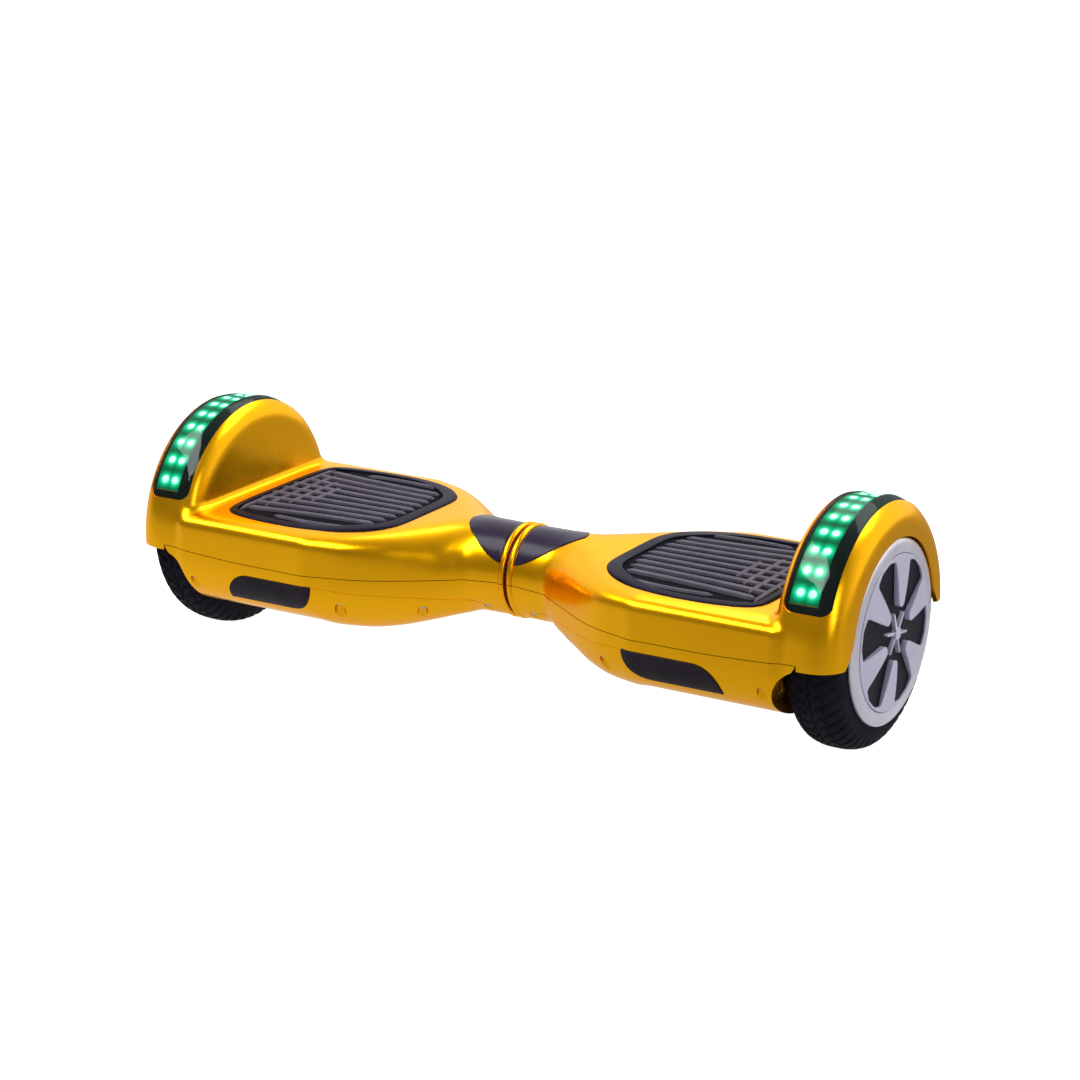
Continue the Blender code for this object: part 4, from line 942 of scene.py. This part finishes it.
def hub(side, tag):
    body = f"{tag}_wheel"
    dome = [(0.2919 - 0.0031 * (r / 0.0547) ** 3.0, r) for r in np.linspace(0.001, 0.0547, 30)]
    profile = [(0.2919, 0.0)] + dome + [(0.2876, 0.0547), (0.2876, 0.0)]
    cover = turned(f"{tag}_hub_cover_skin", side, profile, 120, closed=False)
    combine(cover, "DIFFERENCE", [petal_opening("petals", side)])
    dress(soften(cover, 0.0004, 3, 50), body, "wheel_silver", SILVER, f"{tag}_hub_cover")
    profile = [(0.288, 0.0), (0.288, 0.015), (0.2873, 0.02), (0.2873, 0.0544), (0.2854, 0.0544), (0.2854, 0.0)]
    insert = turned(f"{tag}_hub_insert_skin", side, profile, 96, closed=False)
    dress(insert, body, "black_plastic", INSERT, f"{tag}_hub_insert")
    arm = ((0.002, -0.001), (0.015, -0.0009), (0.016, -0.0006), (0.0164, 0.0), (0.016, 0.0006),
           (0.015, 0.0009), (0.002, 0.001))
    star = rod(f"{tag}_hub_star_skin", (side * 0.2879, 0, AXLE_Z), (side * 0.2916, 0, AXLE_Z), 0.0044, 40)
    combine(star, "UNION", [loft("arm", [[(side * x, y, AXLE_Z + z) for y, z in rotated(arm, turn)]
                                         for x in (0.2879, 0.2908)]) for turn in PETAL_TURNS])
    dress(soften(star, 0.0003, 2, 50), body, "wheel_silver", SILVER, f"{tag}_hub_star")
    profile = [(0.285, 0.0112), (0.285, 0.0549), (0.2876, 0.0549), (0.2884, 0.0553), (0.2886, 0.0566),
               (0.2883, 0.0604), (0.2877, 0.0634), (0.2868, 0.0648), (0.2856, 0.0652), (0.2846, 0.065),
               (0.2846, 0.0597), (0.2446, 0.0597), (0.2446, 0.063), (0.243, 0.063), (0.243, 0.0545),
               (0.282, 0.0545), (0.282, 0.015), (0.277, 0.015), (0.277, 0.0112)]
    dress(turned(f"{tag}_rim_skin", side, profile, 144), body, "wheel_silver", POLISHED, f"{tag}_rim")


def tread_depth(turns, x, t):
    """Depth of the tread at a turn, at x from the tyre's middle, where t runs from -1 to 1 across it."""
    if abs(t) >= 0.8:
        return 0.0
    zig = 0.001 * math.sin(2 * math.pi * turns * TREAD_LUGS)
    groove = max(0.0, 1 - (abs(x - zig) / 0.0011) ** 4)
    shoulder = max(0.0, 1 - (abs(abs(x) - 0.0092 - 0.5 * zig) / 0.0008) ** 4)
    phase = (turns * TREAD_LUGS + (0.5 if t > 0 else 0.0) + abs(x) * 60.0) % 1.0
    lug = max(0.0, 1 - (abs(phase - 0.5) / 0.17) ** 4) if abs(t) > 0.08 else 0.0
    return 0.0015 * max(groove, 0.8 * shoulder, lug) * min((0.8 - abs(t)) / 0.1, 1.0)


def tyre(side, tag):
    """Solid tyre: swept side lugs and a zigzag middle groove cut into a rounded tread."""
    half = np.array(((0.0, 0.084), (0.004, 0.0839), (0.008, 0.0835), (0.0115, 0.0826), (0.0145, 0.0812),
                     (0.017, 0.0792), (0.0188, 0.0767), (0.02, 0.0738), (0.0206, 0.0706), (0.0209, 0.0672)))
    ts = np.linspace(0, 1, 26)
    arc = np.concatenate([[0], np.cumsum(np.hypot(*np.diff(half, axis=0).T))])
    arc /= arc[-1]
    xs, rs = np.interp(ts, arc, half[:, 0]), np.interp(ts, arc, half[:, 1])
    across = list(zip(xs[::-1], rs[::-1], ts[::-1])) + [(-x, r, -t) for x, r, t in zip(xs[1:], rs[1:], ts[1:])]
    seat = [(0.2428, 0.0655), (0.245, 0.0634), (0.245, 0.06), (0.2843, 0.06), (0.2843, 0.0655)]
    segments = 432
    rings = []
    for step in range(segments):
        turns = step / segments
        angle = 2 * math.pi * turns
        profile = [(TYRE_MID + x, r - tread_depth(turns, x, t)) for x, r, t in across] + seat
        rings.append([(side * x, r * math.cos(angle), AXLE_Z + r * math.sin(angle)) for x, r in profile])
    made = loft(f"{tag}_tyre_skin", rings, 50, closed=True)
    dress(made, f"{tag}_wheel", "tyre_rubber", TYRE, f"{tag}_tyre")


# ---- single pieces
def small_parts():
    profile = [(0.0011, 0.025), (0.0011, 0.0314), (0.0007, 0.0318), (-0.0007, 0.0318), (-0.0011, 0.0314),
               (-0.0011, 0.025)]
    ring = turned("centre_ring_skin", 1, profile, 96, z=TWIST_Z)
    dress(ring, "left_half", "black_plastic", RED_RING, "centre_ring")
    button = merge("power_button_skin", [
        soften(rod("cap", (*BUTTON, 0.029), (*BUTTON, 0.0345), 0.007, 48), 0.0004),
        rod("flange", (*BUTTON, 0.0343), (*BUTTON, 0.0354), 0.0086, 48)])
    dress(button, "button", "black_plastic", PLASTIC, "power_button")
    x, y = PORT
    tab = [(x - 0.0125, y - 0.003), (x - 0.007, y - 0.003), (x - 0.007, y + 0.003), (x - 0.0125, y + 0.003)]
    cap = merge("port_cap_skin", [
        soften(rod("disc", (x, y, 0.0284), (x, y, 0.0297), 0.0095, 48), 0.0003),
        prism("tab", tab, 0.0285, 0.0296, 0),
        rod("knuckle", (x - 0.013, y - 0.0045, 0.0289), (x - 0.013, y + 0.0045, 0.0289), 0.0008, 16)])
    dress(cap, "port_cap", "pad_rubber", CABLE, "charge_port_cap")


for side_sign, side_name in ((-1, "left"), (1, "right")):
    for make in (shells, trim, lights, foot_pad, hub, tyre):
        make(side_sign, side_name)
small_parts()

SLOT_LOOKS = {"gold_shell": GOLD, "pad_rubber": PAD_EDGE, "tyre_rubber": TYRE, "dark_trim": TRIM,
              "smoked_lens": LENS_CLEAR, "light_strip": STRIP_LIGHT, "wheel_silver": SILVER,
              "cast_aluminium": ALUMINIUM, "steel": STEEL, "circuit_board": BOARD, "battery_wrap": WRAP,
              "winding_copper": COPPER, "bronze": BRONZE, "cable_black": CABLE, "black_plastic": PLASTIC}
slot_of = {part["node"]: part["material_slot"] for part in frame["record"]["subparts"]}
for node_name, node_object in frame["nodes"].items():
    node_object.data.materials.clear()
    node_object.data.materials.append(SLOT_LOOKS[slot_of[node_name]])


# ---- studio
def pale_floor():
    floor_material, tree, shader = new_material("studio_floor")
    tree.links.new(ramp(tree, noise(tree, 2.0), (0.3, (0.33, 0.33, 0.33)), (0.7, (0.345, 0.345, 0.345))),
                   shader.inputs["Base Color"])
    set_inputs(shader, Roughness=0.9, Specular_IOR_Level=0.1, Emission_Color=(1.0, 1.0, 1.0, 1.0))
    path = add_node(tree, "ShaderNodeLightPath")
    split = add_node(tree, "ShaderNodeSeparateXYZ", object_coordinates(tree))
    from_middle = calculate(tree, "ABSOLUTE", split.outputs["Y"])
    seen = spread(tree, path.outputs["Is Camera Ray"], 0.0, 0.97, 0.0, 1.0)
    under_glow = spread(tree, from_middle, 0.3, 0.0, 0.08, 0.4)
    tree.links.new(calculate(tree, "MAXIMUM", seen, under_glow), shader.inputs["Emission Strength"])
    # in reflections the floor is a plain card, brighter under the board and to the left, so the paint
    # shows no sampling noise
    card = add_node(tree, "ShaderNodeEmission")
    card_light = calculate(tree, "MULTIPLY", spread(tree, from_middle, 1.0, 0.72, 0.05, 0.4),
                           spread(tree, split.outputs["X"], 0.86, 0.6, -0.3, 0.3))
    tree.links.new(card_light, card.inputs["Strength"])
    mix_shaders(tree, path.outputs["Is Glossy Ray"], shader, card)
    build = bmesh.new()
    bmesh.ops.create_grid(build, x_segments=1, y_segments=1, size=9.0)
    floor = to_object("studio_floor", build, 0)
    floor.data.materials.append(floor_material)
    for made in (floor_material, STRIP_LIGHT, LAMP):
        # these light the board only where a reflected ray meets them, which keeps the paint free of noise
        made.cycles.emission_sampling = "NONE"


def backdrop():
    """White behind the board; what lights it is dimmer overhead and towards the front."""
    world = bpy.data.worlds.new("studio")
    bpy.context.scene.world = world
    world.use_nodes = True
    tree = world.node_tree
    tree.nodes.clear()
    add_node(tree, "ShaderNodeOutputWorld")
    path = add_node(tree, "ShaderNodeLightPath")
    split = add_node(tree, "ShaderNodeSeparateXYZ", add_node(tree, "ShaderNodeTexCoord").outputs["Generated"])
    height = ramp(tree, split.outputs["Z"], (0.0, (1.0, 0.97, 0.93)), (0.4, (0.92, 0.92, 0.95)),
                  (0.62, (0.85, 0.85, 0.86)), (1.0, (0.55, 0.55, 0.57)))
    lit = add_node(tree, "ShaderNodeBackground", height, spread(tree, split.outputs["Y"], 0.28, 1.35, -0.25, 0.5))
    white = add_node(tree, "ShaderNodeBackground", Color=(1.0, 1.0, 1.0, 1.0), Strength=1.0)
    mix_shaders(tree, path.outputs["Is Camera Ray"], lit, white)


def area_lights():
    """A long soft box above the front, one behind and a weak one on the right."""
    for name, place, size, power in (("key", (-0.55, -0.75, 1.6), (2.2, 0.7), 43.0),
                                     ("top", (0.3, 1.0, 1.6), (2.4, 0.9), 24.0),
                                     ("right", (1.6, -0.9, 0.7), (0.5, 0.8), 4.0)):
        lamp = bpy.data.lights.new(name, "AREA")
        lamp.shape = "RECTANGLE"
        lamp.size, lamp.size_y = size
        lamp.energy = power
        holder = add_object(name, lamp)
        holder.location = place
        holder.rotation_euler = (Vector((0, 0, 0.08)) - Vector(place)).to_track_quat("-Z", "Y").to_euler()


def camera():
    """Stands where the reference view was taken from: 31 degrees to the right, 17.5 above."""
    azimuth, elevation, distance = math.radians(31.17), math.radians(17.47), 2.087
    back = Vector((math.sin(azimuth) * math.cos(elevation), -math.cos(azimuth) * math.cos(elevation),
                   math.sin(elevation)))
    data = bpy.data.cameras.new("camera")
    data.lens, data.sensor_width = 95.97, 36.0
    data.shift_x, data.shift_y = 0.0101, 0.0167
    obj = add_object("camera", data)
    obj.location = Vector((0, 0, 0.09)) + back * distance
    obj.rotation_euler = (-back).to_track_quat("-Z", "Y").to_euler()
    bpy.context.scene.camera = obj


pale_floor()
backdrop()
area_lights()
camera()
bpy.context.scene.view_settings.view_transform = "Standard"
bpy.context.scene.view_settings.look = "None"
